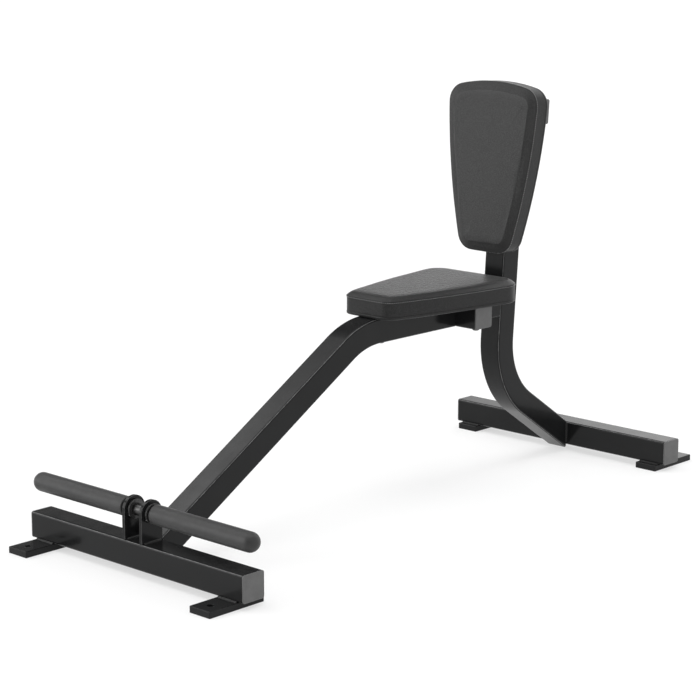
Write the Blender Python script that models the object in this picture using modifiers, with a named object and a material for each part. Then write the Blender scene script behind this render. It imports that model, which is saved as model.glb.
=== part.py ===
"""Utility bench: a welded square tube frame, a fixed seat and back rest, and a foot bar that turns.

The bench lies along Y with its front at -Y, and X = 0 is its middle plane. The floor is z = 0 and the
origin is the middle of the footprint. Lengths are in metres and angles in degrees.
"""

import math

import bmesh
import bpy
from mathutils import Matrix, Vector
from mathutils.geometry import intersect_sphere_sphere_2d

# Clearance between pieces that touch
GAP = 0.0003

# Square tube that the whole frame is made of
TUBE = 0.060
WALL = 0.003
TUBE_CORNER = 0.005
TUBE_CORNER_STEPS = 3

# Front and rear base tubes, measured across the bench and between their centres
BASE_LENGTH = 0.676
BASE_SPACING = 1.458

# Plugs in the open tube ends
CAP_THICKNESS = 0.003
CAP_PLUG_DEPTH = 0.012
CAP_CHAMFER = 0.0008

# Foot plates under the base tubes
PLATE_THICKNESS = 0.015
PLATE_WIDTH = 0.060
PLATE_INSET = 0.0165
PLATE_TOE = 0.078
PLATE_HEEL = 0.015
PLATE_EDGE = 0.001
ANCHOR_DIAMETER = 0.015
ANCHOR_EDGE_DISTANCE = 0.030

# Main tube: a slope up from the front base, a bend, then a level run to the post
LEVEL_HEIGHT = 0.4228
SLOPE_ANGLE = 31.0
SLOPE_DROP = 0.0015
SLOPE_BEND_RADIUS = 0.204
SLOPE_BEND_STEPS = 10

# Upright post: a leg up from the rear base, a bend, then the upright
POST_LEAN = 4.3
POST_FORWARD = 0.2435
LEG_ANGLE = 34.1
LEG_DROP = 0.0015
POST_BEND_RADIUS = 0.195
POST_BEND_STEPS = 14
POST_OVER_BRACKET = 0.003

# Short tubes at the sides that carry the seat and the back rest
BRACKET_REACH = 0.0634
SEAT_BRACKET_FORWARD = 0.141
BACK_BRACKET_RISE = 0.477

# Upholstered pads, each a cushion whose cover wraps round the edge of its board
BOARD_THICKNESS = 0.009
BOARD_INSET = 0.014
PAD_EDGE = 0.004
SEAM_HEIGHT = 0.0425
SEAM_ROLL = 0.003
SHOULDER_SWELL = 0.0008
PAD_CROWN = 0.0012
CROWN_CORNER_RADIUS = 0.004
PAD_ARC_STEPS = 4

# Seat, narrow at the front: its sides and ends bow out beyond the straight lines between its corners
SEAT_LENGTH = 0.408
SEAT_FRONT_WIDTH = 0.1415
SEAT_REAR_WIDTH = 0.2825
SEAT_FRONT_RADIUS = 0.030
SEAT_REAR_RADIUS = 0.049
SEAT_FRONT_BOW = 0.0005
SEAT_REAR_BOW = 0.0023
SEAT_SIDE_BOW = 0.0103
SEAT_THICKNESS = 0.0545
SEAT_SHOULDER = 0.0125
SEAT_POST_SPACE = 0.0486

# Back rest, narrow at the bottom, bowed in the same way
BACK_LENGTH = 0.3915
BACK_BOTTOM_WIDTH = 0.1505
BACK_TOP_WIDTH = 0.277
BACK_BOTTOM_RADIUS = 0.044
BACK_TOP_RADIUS = 0.0455
BACK_BOTTOM_BOW = 0.0019
BACK_TOP_BOW = 0.0212
BACK_SIDE_BOW = 0.0124
BACK_THICKNESS = 0.0505
BACK_SHOULDER = 0.0225
BACK_RISE = 0.132

# Bolts that hold the pads, each with a washer face under its head
BOLT_DIAMETER = 0.010
BOLT_HOLE_PLAY = 0.0005
BOLT_HEAD_DIAMETER = 0.018
BOLT_HEAD_HEIGHT = 0.0055
BOLT_HEAD_FLAT = 0.010
BOLT_HEAD_STEPS = 3
BOLT_CHAMFER = 0.001
WASHER_DIAMETER = 0.024
WASHER_THICKNESS = 0.002
BOLT_END_SPACE = 0.001
BOLT_STEPS = 16
SEAT_BOLT_SETBACK = 0.052
BEND_WASHER_SPACE = 0.012
BRACKET_BOLT_INSET = 0.025
BACK_BOLT_RISE = 0.067

# Foot bar in its lugs on the front base
BAR_RISE = 0.0633
BAR_DIAMETER = 0.026
FOOT_BAR_LENGTH = 0.700
LUG_SPACE = 0.046
LUG_THICKNESS = 0.008
LUG_WIDTH = 0.059
LUG_ARC_STEPS = 16
BUSH_WALL = 0.0033
BUSH_PROUD = 0.001
BUSH_PLAY = 0.0004
COLLAR_DIAMETER = 0.044
COLLAR_WIDTH = 0.005
COLLAR_PLAY = 0.0005
GRIP_DIAMETER = 0.0436
GRIP_SPACE = 0.0065
GRIP_END_WALL = 0.020
GRIP_EDGE = 0.0015
GRIP_ARC_STEPS = 6
ROUND_STEPS = 32

# Heights and places that follow from the sizes above
HALF_TUBE = TUBE / 2
BASE_CENTRE_Z = PLATE_THICKNESS + GAP + HALF_TUBE
BASE_TOP_Z = BASE_CENTRE_Z + HALF_TUBE
FRONT_BASE_Y = -BASE_SPACING / 2
REAR_BASE_Y = BASE_SPACING / 2
FRONT_JOINT_Y = FRONT_BASE_Y + HALF_TUBE + GAP
REAR_JOINT_Y = REAR_BASE_Y - HALF_TUBE - GAP
POST_AXIS_Y = REAR_JOINT_Y - POST_FORWARD
POST_FACE_Y = POST_AXIS_Y - HALF_TUBE / math.cos(math.radians(POST_LEAN))
SEAT_UNDERSIDE_Z = LEVEL_HEIGHT + HALF_TUBE + GAP
SEAT_REAR_Y = POST_FACE_Y - SEAT_POST_SPACE
SEAT_FRONT_Y = SEAT_REAR_Y - SEAT_LENGTH
SEAT_BRACKET_Y = POST_FACE_Y - SEAT_BRACKET_FORWARD
SLOPE_RISE = LEVEL_HEIGHT - BASE_CENTRE_Z + SLOPE_DROP
SLOPE_RUN = SLOPE_RISE / math.tan(math.radians(SLOPE_ANGLE))
LEVEL_START_Y = FRONT_JOINT_Y + SLOPE_RUN + SLOPE_BEND_RADIUS * math.tan(math.radians(SLOPE_ANGLE) / 2)
FLAT_FOR_WASHER_Y = LEVEL_START_Y + BEND_WASHER_SPACE + WASHER_DIAMETER / 2
SEAT_FRONT_BOLT_Y = max(SEAT_FRONT_Y + SEAT_BOLT_SETBACK, FLAT_FOR_WASHER_Y)
BRACKET_END_X = HALF_TUBE + BRACKET_REACH
BRACKET_BOLT_X = BRACKET_END_X - BRACKET_BOLT_INSET
POST_TOP_RISE = BACK_BRACKET_RISE + HALF_TUBE + POST_OVER_BRACKET
BAR_Z = BASE_TOP_Z + BAR_RISE
LUG_INNER_X = LUG_SPACE / 2
LUG_OUTER_X = LUG_INNER_X + LUG_THICKNESS
BUSH_BORE_RADIUS = BAR_DIAMETER / 2 + BUSH_PLAY
BUSH_RADIUS = BUSH_BORE_RADIUS + BUSH_WALL
INNER_COLLAR_X = LUG_INNER_X - BUSH_PROUD - COLLAR_PLAY - COLLAR_WIDTH / 2
OUTER_COLLAR_X = LUG_OUTER_X + BUSH_PROUD + COLLAR_PLAY + COLLAR_WIDTH / 2
GRIP_START_X = OUTER_COLLAR_X + COLLAR_WIDTH / 2 + GRIP_SPACE
BAR_END_X = FOOT_BAR_LENGTH / 2 - GRIP_END_WALL

# Colours, roughness and metallic value of each finish
BLACK_PAINT = ((0.035, 0.035, 0.037), 0.28, 0.0)
BLACK_PLASTIC = ((0.050, 0.050, 0.052), 0.45, 0.0)
BLACK_VINYL = ((0.030, 0.030, 0.031), 0.55, 0.0)
DARK_BOARD = ((0.022, 0.022, 0.023), 0.70, 0.0)
GREY_RUBBER = ((0.080, 0.080, 0.083), 0.75, 0.0)
PLATED_STEEL = ((0.420, 0.420, 0.430), 0.32, 1.0)
BRONZE = ((0.340, 0.230, 0.110), 0.40, 1.0)
BLACK_OXIDE = ((0.045, 0.045, 0.048), 0.40, 1.0)

ALONG_X = (0.0, math.radians(90), 0.0)
SIDES = (("left", -1), ("right", 1))


def clear_scene():
    """Remove every object that the file holds."""
    for item in list(bpy.data.objects):
        bpy.data.objects.remove(item, do_unlink=True)


def new_collection(name):
    """Return a new collection under the scene's own."""
    collection = bpy.data.collections.new(name)
    bpy.context.scene.collection.children.link(collection)
    return collection


def give_material(item, finish):
    """Give an object a material of its own with the colour, roughness and metallic value of a finish."""
    colour, roughness, metallic = finish
    material = bpy.data.materials.new(item.name)
    material.use_nodes = True
    shader = material.node_tree.nodes["Principled BSDF"]
    shader.inputs["Base Color"].default_value = (*colour, 1.0)
    shader.inputs["Roughness"].default_value = roughness
    shader.inputs["Metallic"].default_value = metallic
    item.data.materials.append(material)


def add_object(name, bm, finish, location=(0, 0, 0), rotation=(0, 0, 0), parent=None):
    """Make an object of the bench from a bmesh, in its parent's space where it has one."""
    mesh = bpy.data.meshes.new(name)
    bmesh.ops.recalc_face_normals(bm, faces=bm.faces[:])
    bm.to_mesh(mesh)
    bm.free()
    mesh.shade_smooth()
    mesh.set_sharp_from_angle(angle=math.radians(30))
    item = bpy.data.objects.new(name, mesh)
    item.location = location
    item.rotation_euler = rotation
    item.parent = parent
    BENCH.objects.link(item)
    give_material(item, finish)
    return item


def add_empty(name, location, rotation=(0, 0, 0)):
    """Make an empty that carries the pieces of one assembly."""
    empty = bpy.data.objects.new(name, None)
    empty.location = location
    empty.rotation_euler = rotation
    BENCH.objects.link(empty)
    return empty


def add_cutter(name, bm, location, rotation=(0, 0, 0), parent=None):
    """Make a hidden object that other pieces are cut with."""
    mesh = bpy.data.meshes.new(name)
    bmesh.ops.recalc_face_normals(bm, faces=bm.faces[:])
    bm.to_mesh(mesh)
    bm.free()
    cutter = bpy.data.objects.new(name, mesh)
    cutter.location = location
    cutter.rotation_euler = rotation
    cutter.parent = parent
    cutter.hide_render = True
    cutter.display_type = "WIRE"
    CUTTERS.objects.link(cutter)
    return cutter


def cut(item, cutter):
    """Take a cutter's shape out of an object."""
    modifier = item.modifiers.new("cut " + cutter.name, "BOOLEAN")
    modifier.operation = "DIFFERENCE"
    modifier.solver = "EXACT"
    modifier.object = cutter


def box_mesh(size):
    """Return a box about its own centre."""
    bm = bmesh.new()
    bmesh.ops.create_cube(bm, size=1.0)
    bmesh.ops.scale(bm, vec=size, verts=bm.verts[:])
    return bm


def cylinder_mesh(radius, length, steps):
    """Return a cylinder along Z about its own centre."""
    bm = bmesh.new()
    bmesh.ops.create_cone(bm, cap_ends=True, segments=steps, radius1=radius, radius2=radius, depth=length)
    return bm


def circle_outline(radius, steps, centre=(0, 0)):
    """Return the points of a circle, anticlockwise."""
    turn = math.tau / steps
    middle = Vector(centre)
    return [middle + radius * Vector((math.cos(turn * k), math.sin(turn * k))) for k in range(steps)]


def arc_points(centre, radius, first, last, steps):
    """Return points along an arc, anticlockwise from its first angle, without its last point."""
    turn = ((last - first) % math.tau) / steps
    angles = [first + turn * k for k in range(steps)]
    return [centre + radius * Vector((math.cos(angle), math.sin(angle))) for angle in angles]


def square_outline(size, radius):
    """Return a rounded square about its centre."""
    reach = size / 2 - radius
    quarter = math.pi / 2
    points = []
    for k, (x, y) in enumerate(((1, 1), (-1, 1), (-1, -1), (1, -1))):
        centre = Vector((x * reach, y * reach))
        points += arc_points(centre, radius, quarter * k, quarter * (k + 1), TUBE_CORNER_STEPS)
        points.append(centre + radius * Vector((math.cos(quarter * (k + 1)), math.sin(quarter * (k + 1)))))
    return points


def tube_outlines():
    """Return the outer and the inner outline of the frame's square tube."""
    inner_radius = max(TUBE_CORNER - WALL, WALL / 3)
    return square_outline(TUBE, TUBE_CORNER), square_outline(TUBE - 2 * WALL, inner_radius)


def extruded(outlines, depth):
    """Return a flat outline, with any further outlines as holes in it, extruded about z = 0."""
    curve = bpy.data.curves.new("outline", "CURVE")
    curve.dimensions = "2D"
    curve.fill_mode = "BOTH"
    curve.extrude = depth / 2
    for outline in outlines:
        spline = curve.splines.new("POLY")
        spline.points.add(len(outline) - 1)
        for point, place in zip(spline.points, outline):
            point.co = (place.x, place.y, 0.0, 1.0)
        spline.use_cyclic_u = True
    guide = bpy.data.objects.new("outline", curve)
    bpy.context.scene.collection.objects.link(guide)
    evaluated = guide.evaluated_get(bpy.context.evaluated_depsgraph_get())
    mesh = bpy.data.meshes.new_from_object(evaluated)
    bm = bmesh.new()
    bm.from_mesh(mesh)
    bmesh.ops.remove_doubles(bm, verts=bm.verts[:], dist=0.00001)
    bpy.data.meshes.remove(mesh)
    bpy.data.objects.remove(guide, do_unlink=True)
    bpy.data.curves.remove(curve)
    return bm


def station(y, z, angle):
    """Return the placement of a tube section at a point of the middle plane, facing along an angle.

    The angle is measured from +Y towards +Z, and the section's own Z runs along the tube.
    """
    return Matrix.Translation((0, y, z)) @ Matrix.Rotation(math.radians(angle - 90), 4, "X")


def bent_path(start, start_angle, end, end_angle, radius, steps):
    """Return the stations of a tube that runs straight, bends round an arc and runs straight again."""
    first = Vector((math.cos(math.radians(start_angle)), math.sin(math.radians(start_angle))))
    last = Vector((math.cos(math.radians(end_angle)), math.sin(math.radians(end_angle))))
    offset = end - start
    meeting = start + first * offset.cross(last) / first.cross(last)
    turn = end_angle - start_angle
    reach = radius * math.tan(math.radians(abs(turn)) / 2)
    side = math.copysign(1.0, turn)
    centre = meeting - first * reach + side * radius * Vector((-first.y, first.x))
    stations = [station(start.x, start.y, start_angle)]
    for k in range(steps + 1):
        angle = start_angle + turn * k / steps
        outward = Vector((math.sin(math.radians(angle)), -math.cos(math.radians(angle)))) * side
        place = centre + radius * outward
        stations.append(station(place.x, place.y, angle))
    stations.append(station(end.x, end.y, end_angle))
    return stations


def extrude_to(bm, faces, matrix, keep_start=False):
    """Extrude a region of faces, move its new end by a matrix and return the new end's faces.

    The region that was extruded is removed unless it stays as the start of a new solid.
    """
    grown = bmesh.ops.extrude_face_region(bm, geom=faces)["geom"]
    moving = [piece for piece in grown if isinstance(piece, bmesh.types.BMVert)]
    bmesh.ops.transform(bm, matrix=matrix, verts=moving)
    if not keep_start:
        bmesh.ops.delete(bm, geom=faces, context="FACES_ONLY")
    return [piece for piece in grown if isinstance(piece, bmesh.types.BMFace)]


def swept_tube(stations):
    """Return the frame's hollow square tube along a row of stations."""
    bm = extruded(tube_outlines(), 0)
    bmesh.ops.transform(bm, matrix=stations[0], verts=bm.verts[:])
    section = bm.faces[:]
    for index, (here, there) in enumerate(zip(stations, stations[1:])):
        section = extrude_to(bm, section, there @ here.inverted(), keep_start=index == 0)
    return bm


def turned(name, profile, finish, steps, location, rotation=(0, 0, 0), parent=None):
    """Make a turned piece from a profile of (radius, z) points that runs down its outer side."""
    bm = bmesh.new()
    verts = [bm.verts.new((radius, 0, z)) for radius, z in profile]
    for first, second in zip(verts, verts[1:]):
        bm.edges.new((first, second))
    item = add_object(name, bm, finish, location, rotation, parent)
    screw = item.modifiers.new("turn", "SCREW")
    screw.axis = "Z"
    screw.steps = steps
    screw.render_steps = steps
    screw.use_merge_vertices = True
    screw.merge_threshold = 0.00005
    return item


def add_ring(name, outer_radius, inner_radius, width, finish, x, parent):
    """Make a flat ring about the foot bar's axis."""
    outlines = [circle_outline(outer_radius, ROUND_STEPS), circle_outline(inner_radius, ROUND_STEPS)]
    return add_object(name, extruded(outlines, width), finish, (x, 0, 0), ALONG_X, parent)


def base_tube(name, y):
    """Make a straight tube across the bench, short enough for a cap at each end."""
    length = BASE_LENGTH - 2 * (CAP_THICKNESS + GAP)
    add_object(name, extruded(tube_outlines(), length), BLACK_PAINT, (0, y, BASE_CENTRE_Z), ALONG_X)


def end_cap(name, location, rotation, parent=None):
    """Make a cap whose plate covers a tube's end, facing +Z, and whose plug goes down into the tube."""
    bm = bmesh.new()
    under = bm.faces.new([bm.verts.new((p.x, p.y, 0)) for p in square_outline(TUBE, TUBE_CORNER)])
    extrude_to(bm, [under], Matrix.Translation((0, 0, CAP_THICKNESS)), keep_start=True)
    bmesh.ops.inset_region(bm, faces=[under], thickness=WALL + GAP, use_even_offset=True)
    extrude_to(bm, [under], Matrix.Translation((0, 0, -CAP_PLUG_DEPTH)))
    rim = [edge for edge in bm.edges if all(vert.co.z > CAP_THICKNESS / 2 for vert in edge.verts)]
    bmesh.ops.bevel(bm, geom=rim, offset=CAP_CHAMFER, segments=1, affect="EDGES")
    add_object(name, bm, BLACK_PLASTIC, location, rotation, parent)


def foot_plate(name, side, base_y, outward):
    """Make a flat bar under one end of a base tube, with an anchor hole in its toe."""
    x = side * (BASE_LENGTH / 2 - PLATE_INSET - PLATE_WIDTH / 2)
    length = PLATE_TOE + TUBE + PLATE_HEEL
    y = base_y + outward * (HALF_TUBE + PLATE_TOE - length / 2)
    plate = add_object(name, box_mesh((PLATE_WIDTH, length, PLATE_THICKNESS)), BLACK_PAINT,
                       (x, y, PLATE_THICKNESS / 2))
    edges = plate.modifiers.new("edges", "BEVEL")
    edges.width = PLATE_EDGE
    edges.segments = 1
    hole_y = base_y + outward * (HALF_TUBE + PLATE_TOE - ANCHOR_EDGE_DISTANCE)
    hole = cylinder_mesh(ANCHOR_DIAMETER / 2, 2 * PLATE_THICKNESS, BOLT_STEPS)
    cut(plate, add_cutter(name + "_hole", hole, (x, hole_y, PLATE_THICKNESS / 2)))


def base_assembly(end, base_y, outward):
    """Make a base tube with its caps and foot plates."""
    base_tube(end + "_base_tube", base_y)
    cap_x = BASE_LENGTH / 2 - CAP_THICKNESS
    for word, side in SIDES:
        turn = (0, side * math.radians(90), 0)
        end_cap(end + "_base_cap_" + word, (side * cap_x, base_y, BASE_CENTRE_Z), turn)
        foot_plate(end + "_foot_plate_" + word, side, base_y, outward)


def bolt_cutter(name, place, rotation=(0, 0, 0), parent=None):
    """Make a cutter along Z for the holes that a bolt goes through."""
    bore = cylinder_mesh(BOLT_DIAMETER / 2 + BOLT_HOLE_PLAY, 2 * TUBE, BOLT_STEPS)
    return add_cutter(name, bore, place, rotation, parent)


def main_tube():
    """Make the bent tube from the front base to the post."""
    slope = Vector((math.cos(math.radians(SLOPE_ANGLE)), math.sin(math.radians(SLOPE_ANGLE))))
    foot = Vector((FRONT_JOINT_Y, BASE_CENTRE_Z - SLOPE_DROP)) - slope * TUBE
    head = Vector((POST_AXIS_Y, LEVEL_HEIGHT))
    stations = bent_path(foot, SLOPE_ANGLE, head, 0.0, SLOPE_BEND_RADIUS, SLOPE_BEND_STEPS)
    tube = add_object("main_tube", swept_tube(stations), BLACK_PAINT)
    reach = 4 * TUBE
    block = (2 * TUBE, reach, reach)
    trims = [
        ("trim_front_joint", (0, FRONT_JOINT_Y - reach / 2, BASE_CENTRE_Z), (0, 0, 0)),
        ("trim_front_bottom", (0, FRONT_JOINT_Y, PLATE_THICKNESS + GAP - reach / 2), (0, 0, 0)),
    ]
    for name, place, rotation in trims:
        cut(tube, add_cutter(name, box_mesh(block), place, rotation))
    lean = math.radians(POST_LEAN)
    back = Vector((0, math.cos(lean), -math.sin(lean)))
    place = Vector((0, POST_FACE_Y, LEVEL_HEIGHT)) + back * (reach / 2 - GAP)
    cut(tube, add_cutter("trim_post_joint", box_mesh(block), place, (-lean, 0, 0)))
    cut(tube, bolt_cutter("seat_front_bolt_hole", (0, SEAT_FRONT_BOLT_Y, LEVEL_HEIGHT)))


def upright_post(back_frame):
    """Make the bent tube from the rear base up behind the back rest, and its cap."""
    lean = math.radians(POST_LEAN)
    leg = Vector((-math.cos(math.radians(LEG_ANGLE)), math.sin(math.radians(LEG_ANGLE))))
    foot = Vector((REAR_JOINT_Y, BASE_CENTRE_Z - LEG_DROP)) - leg * TUBE
    tube_rise = POST_TOP_RISE - CAP_THICKNESS - GAP
    face = Vector((POST_FACE_Y, LEVEL_HEIGHT))
    up = Vector((math.sin(lean), math.cos(lean)))
    back = Vector((math.cos(lean), -math.sin(lean)))
    head = face + back * HALF_TUBE + up * tube_rise
    stations = bent_path(foot, 180 - LEG_ANGLE, head, 90 - POST_LEAN, POST_BEND_RADIUS, POST_BEND_STEPS)
    post = add_object("upright_post", swept_tube(stations), BLACK_PAINT)
    reach = 4 * TUBE
    block = (2 * TUBE, reach, reach)
    joint_place = (0, REAR_JOINT_Y + reach / 2, BASE_CENTRE_Z)
    cut(post, add_cutter("trim_rear_joint", box_mesh(block), joint_place))
    bottom_place = (0, REAR_JOINT_Y, PLATE_THICKNESS + GAP - reach / 2)
    cut(post, add_cutter("trim_rear_bottom", box_mesh(block), bottom_place))
    bolt_place = (0, BACK_RISE + BACK_BOLT_RISE, -HALF_TUBE)
    cut(post, bolt_cutter("back_lower_bolt_hole", bolt_place, parent=back_frame))
    cap_place = (0, POST_TOP_RISE - CAP_THICKNESS, -HALF_TUBE)
    end_cap("post_top_cap", cap_place, (math.radians(-90), 0, 0), back_frame)


def bracket(name, side, place_y, place_z, parent=None):
    """Make a short capped tube beside the main tube or the post, drilled for a bolt along Z."""
    inner_x = HALF_TUBE + GAP
    outer_x = BRACKET_END_X - CAP_THICKNESS - GAP
    middle_x = side * (inner_x + outer_x) / 2
    tube = add_object(name, extruded(tube_outlines(), outer_x - inner_x), BLACK_PAINT,
                      (middle_x, place_y, place_z), ALONG_X, parent)
    cut(tube, bolt_cutter(name + "_bolt_hole", (side * BRACKET_BOLT_X, place_y, place_z), parent=parent))
    cap_x = side * (BRACKET_END_X - CAP_THICKNESS)
    end_cap(name + "_cap", (cap_x, place_y, place_z), (0, side * math.radians(90), 0), parent)


def bowed_side(start, end, bow):
    """Return the centre and the radius of the arc from one corner to the next that bows out between them."""
    chord = end - start
    radius = (chord.length_squared / 4 + bow * bow) / (2 * bow)
    outward = Vector((chord.y, -chord.x)).normalized()
    return (start + end) / 2 - outward * (radius - bow), radius


def pad_arcs(length, start, end, side_bow):
    """Return a pad's outline as arcs, anticlockwise: centre, radius, first direction and last direction.

    An end is its width, its bow and its corner radius. The corners' arcs touch the arcs of the sides.
    """
    start_width, start_bow, start_radius = start
    end_width, end_bow, end_radius = end
    corners = [Vector((-start_width / 2, 0)), Vector((start_width / 2, 0)),
               Vector((end_width / 2, length)), Vector((-end_width / 2, length))]
    bows = [start_bow, side_bow, end_bow, side_bow]
    radii = [start_radius, start_radius, end_radius, end_radius]
    following = corners[1:] + corners[:1]
    sides = [bowed_side(*ends_and_bow) for ends_and_bow in zip(corners, following, bows)]
    centres = []
    for k, (corner, radius) in enumerate(zip(corners, radii)):
        before, before_radius = sides[k - 1]
        after, after_radius = sides[k]
        meetings = intersect_sphere_sphere_2d(before, before_radius - radius, after, after_radius - radius)
        centres.append(min(meetings, key=lambda point: (point - corner).length))
    arcs = []
    for k, centre in enumerate(centres):
        before = sides[k - 1][0]
        after, after_radius = sides[k]
        next_centre = centres[(k + 1) % len(centres)]
        arcs.append((centre, radii[k], centre - before, centre - after))
        arcs.append((after, after_radius, centre - after, next_centre - after))
    return arcs


def pad_outline(arcs, inset):
    """Return the points of a pad's outline, moved inwards."""
    points = []
    for centre, radius, first, last in arcs:
        angles = (math.atan2(first.y, first.x), math.atan2(last.y, last.x))
        points += arc_points(centre, radius - inset, *angles, PAD_ARC_STEPS)
    return points


def pad_board(name, arcs, holes, location, rotation=(0, 0, 0), parent=None):
    """Make the drilled board of a pad, its lower face at the pad's own z = 0."""
    outlines = [pad_outline(arcs, BOARD_INSET)]
    outlines += [circle_outline(BOLT_DIAMETER / 2 + BOLT_HOLE_PLAY, BOLT_STEPS, hole) for hole in holes]
    bm = extruded(outlines, BOARD_THICKNESS)
    bmesh.ops.translate(bm, vec=(0, 0, BOARD_THICKNESS / 2), verts=bm.verts[:])
    add_object(name, bm, DARK_BOARD, location, rotation, parent)


def ring_edges(bm, ring):
    """Return the edges round a ring of vertices, made where they don't exist yet."""
    pairs = [(ring[k - 1], ring[k]) for k in range(len(ring))]
    return [bm.edges.get(pair) or bm.edges.new(pair) for pair in pairs]


def pad_cushion(name, arcs, thickness, shoulder, location, rotation=(0, 0, 0), parent=None):
    """Make a cushion round its board: sides drawn in at the bottom, a seam, a sloping shoulder and a crown."""
    crown_inset = min(radius for _, radius, _, _ in arcs) - CROWN_CORNER_RADIUS
    panel = thickness - PAD_CROWN
    slope_middle = ((SEAM_HEIGHT + panel) / 2 + SHOULDER_SWELL, shoulder / 2)
    levels = [(0, crown_inset), (0, PAD_EDGE), (PAD_EDGE, 0), (SEAM_HEIGHT - SEAM_ROLL, 0), (SEAM_HEIGHT, 0),
              slope_middle, (panel, shoulder), (thickness, crown_inset)]
    bm = bmesh.new()
    rings = []
    for z, inset in levels:
        rings.append([bm.verts.new((point.x, point.y, z)) for point in pad_outline(arcs, inset)])
    for lower, upper in zip(rings, rings[1:]):
        bmesh.ops.bridge_loops(bm, edges=ring_edges(bm, lower) + ring_edges(bm, upper))
    bm.faces.new(rings[0])
    bm.faces.new(rings[-1])
    cushion = add_object(name, bm, BLACK_VINYL, location, rotation, parent)
    crown = cushion.modifiers.new("soft form", "SUBSURF")
    crown.levels = 1
    crown.render_levels = 1
    pocket = extruded([pad_outline(arcs, BOARD_INSET - GAP)], 2 * (BOARD_THICKNESS + GAP))
    cut(cushion, add_cutter(name + "_pocket", pocket, location, rotation, parent))


def pad_bolt(name, shank, location, rotation=(0, 0, 0), parent=None):
    """Make a button head bolt along Z whose washer face is at its own z = 0."""
    radius = BOLT_DIAMETER / 2
    washer = WASHER_DIAMETER / 2
    under = -WASHER_THICKNESS
    flat = BOLT_HEAD_FLAT / 2
    swell = BOLT_HEAD_DIAMETER / 2 - flat
    turn = math.pi / 2 / BOLT_HEAD_STEPS
    profile = [(0, shank), (radius - BOLT_CHAMFER, shank), (radius, shank - BOLT_CHAMFER), (radius, 0)]
    profile += [(washer, 0), (washer, under)]
    profile += [(flat + swell * math.cos(turn * k), under - BOLT_HEAD_HEIGHT * math.sin(turn * k))
                for k in range(BOLT_HEAD_STEPS + 1)]
    profile += [(0, under - BOLT_HEAD_HEIGHT)]
    turned(name, profile, BLACK_OXIDE, BOLT_STEPS, location, rotation, parent)


def seat():
    """Make the seat pad on the level run and its brackets, and the bolts that hold it from below."""
    front = (SEAT_FRONT_WIDTH, SEAT_FRONT_BOW, SEAT_FRONT_RADIUS)
    rear = (SEAT_REAR_WIDTH, SEAT_REAR_BOW, SEAT_REAR_RADIUS)
    arcs = pad_arcs(SEAT_LENGTH, front, rear, SEAT_SIDE_BOW)
    bracket_y = SEAT_BRACKET_Y - SEAT_FRONT_Y
    holes = [(0, SEAT_FRONT_BOLT_Y - SEAT_FRONT_Y), (BRACKET_BOLT_X, bracket_y), (-BRACKET_BOLT_X, bracket_y)]
    place = (0, SEAT_FRONT_Y, SEAT_UNDERSIDE_Z)
    pad_board("seat_board", arcs, holes, place)
    pad_cushion("seat_cushion", arcs, SEAT_THICKNESS, SEAT_SHOULDER, place)
    for word, side in SIDES:
        bracket("seat_bracket_" + word, side, SEAT_BRACKET_Y, LEVEL_HEIGHT)
    names = ["seat_bolt_front", "seat_bolt_right", "seat_bolt_left"]
    shank = TUBE + 2 * GAP + BOARD_THICKNESS - BOLT_END_SPACE
    for name, (x, y) in zip(names, holes):
        pad_bolt(name, shank, (x, SEAT_FRONT_Y + y, LEVEL_HEIGHT - HALF_TUBE - GAP))


def back_rest():
    """Make the post with the back pad, its brackets and the bolts that hold it from behind.

    They share a frame on the post's front face at the level run's height: its Y runs up the post and
    its Z points forwards out of the face.
    """
    rotation = (math.radians(90 - POST_LEAN), 0, 0)
    frame = add_empty("back_rest_frame", (0, POST_FACE_Y, LEVEL_HEIGHT), rotation)
    upright_post(frame)
    bottom = (BACK_BOTTOM_WIDTH, BACK_BOTTOM_BOW, BACK_BOTTOM_RADIUS)
    top = (BACK_TOP_WIDTH, BACK_TOP_BOW, BACK_TOP_RADIUS)
    arcs = pad_arcs(BACK_LENGTH, bottom, top, BACK_SIDE_BOW)
    bracket_y = BACK_BRACKET_RISE - BACK_RISE
    holes = [(0, BACK_BOLT_RISE), (BRACKET_BOLT_X, bracket_y), (-BRACKET_BOLT_X, bracket_y)]
    place = (0, BACK_RISE, GAP)
    pad_board("back_board", arcs, holes, place, parent=frame)
    pad_cushion("back_cushion", arcs, BACK_THICKNESS, BACK_SHOULDER, place, parent=frame)
    for word, side in SIDES:
        bracket("back_bracket_" + word, side, BACK_BRACKET_RISE, -HALF_TUBE, frame)
    names = ["back_bolt_lower", "back_bolt_right", "back_bolt_left"]
    shank = TUBE + 2 * GAP + BOARD_THICKNESS - BOLT_END_SPACE
    for name, (x, y) in zip(names, holes):
        pad_bolt(name, shank, (x, BACK_RISE + y, -TUBE - GAP), parent=frame)


def lug(name, side):
    """Make an upright plate with a round top about the foot bar, welded on the front base."""
    rise = BAR_RISE - GAP
    radius = LUG_WIDTH / 2
    turn = math.pi / LUG_ARC_STEPS
    outline = [Vector((-radius, -rise)), Vector((radius, -rise))]
    outline += [radius * Vector((math.cos(turn * k), math.sin(turn * k))) for k in range(LUG_ARC_STEPS + 1)]
    bm = extruded([outline, circle_outline(BUSH_RADIUS + GAP, ROUND_STEPS)], LUG_THICKNESS)
    x = side * (LUG_INNER_X + LUG_THICKNESS / 2)
    add_object(name, bm, BLACK_PAINT, (x, FRONT_BASE_Y, BAR_Z), (math.radians(90), 0, math.radians(90)))


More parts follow.
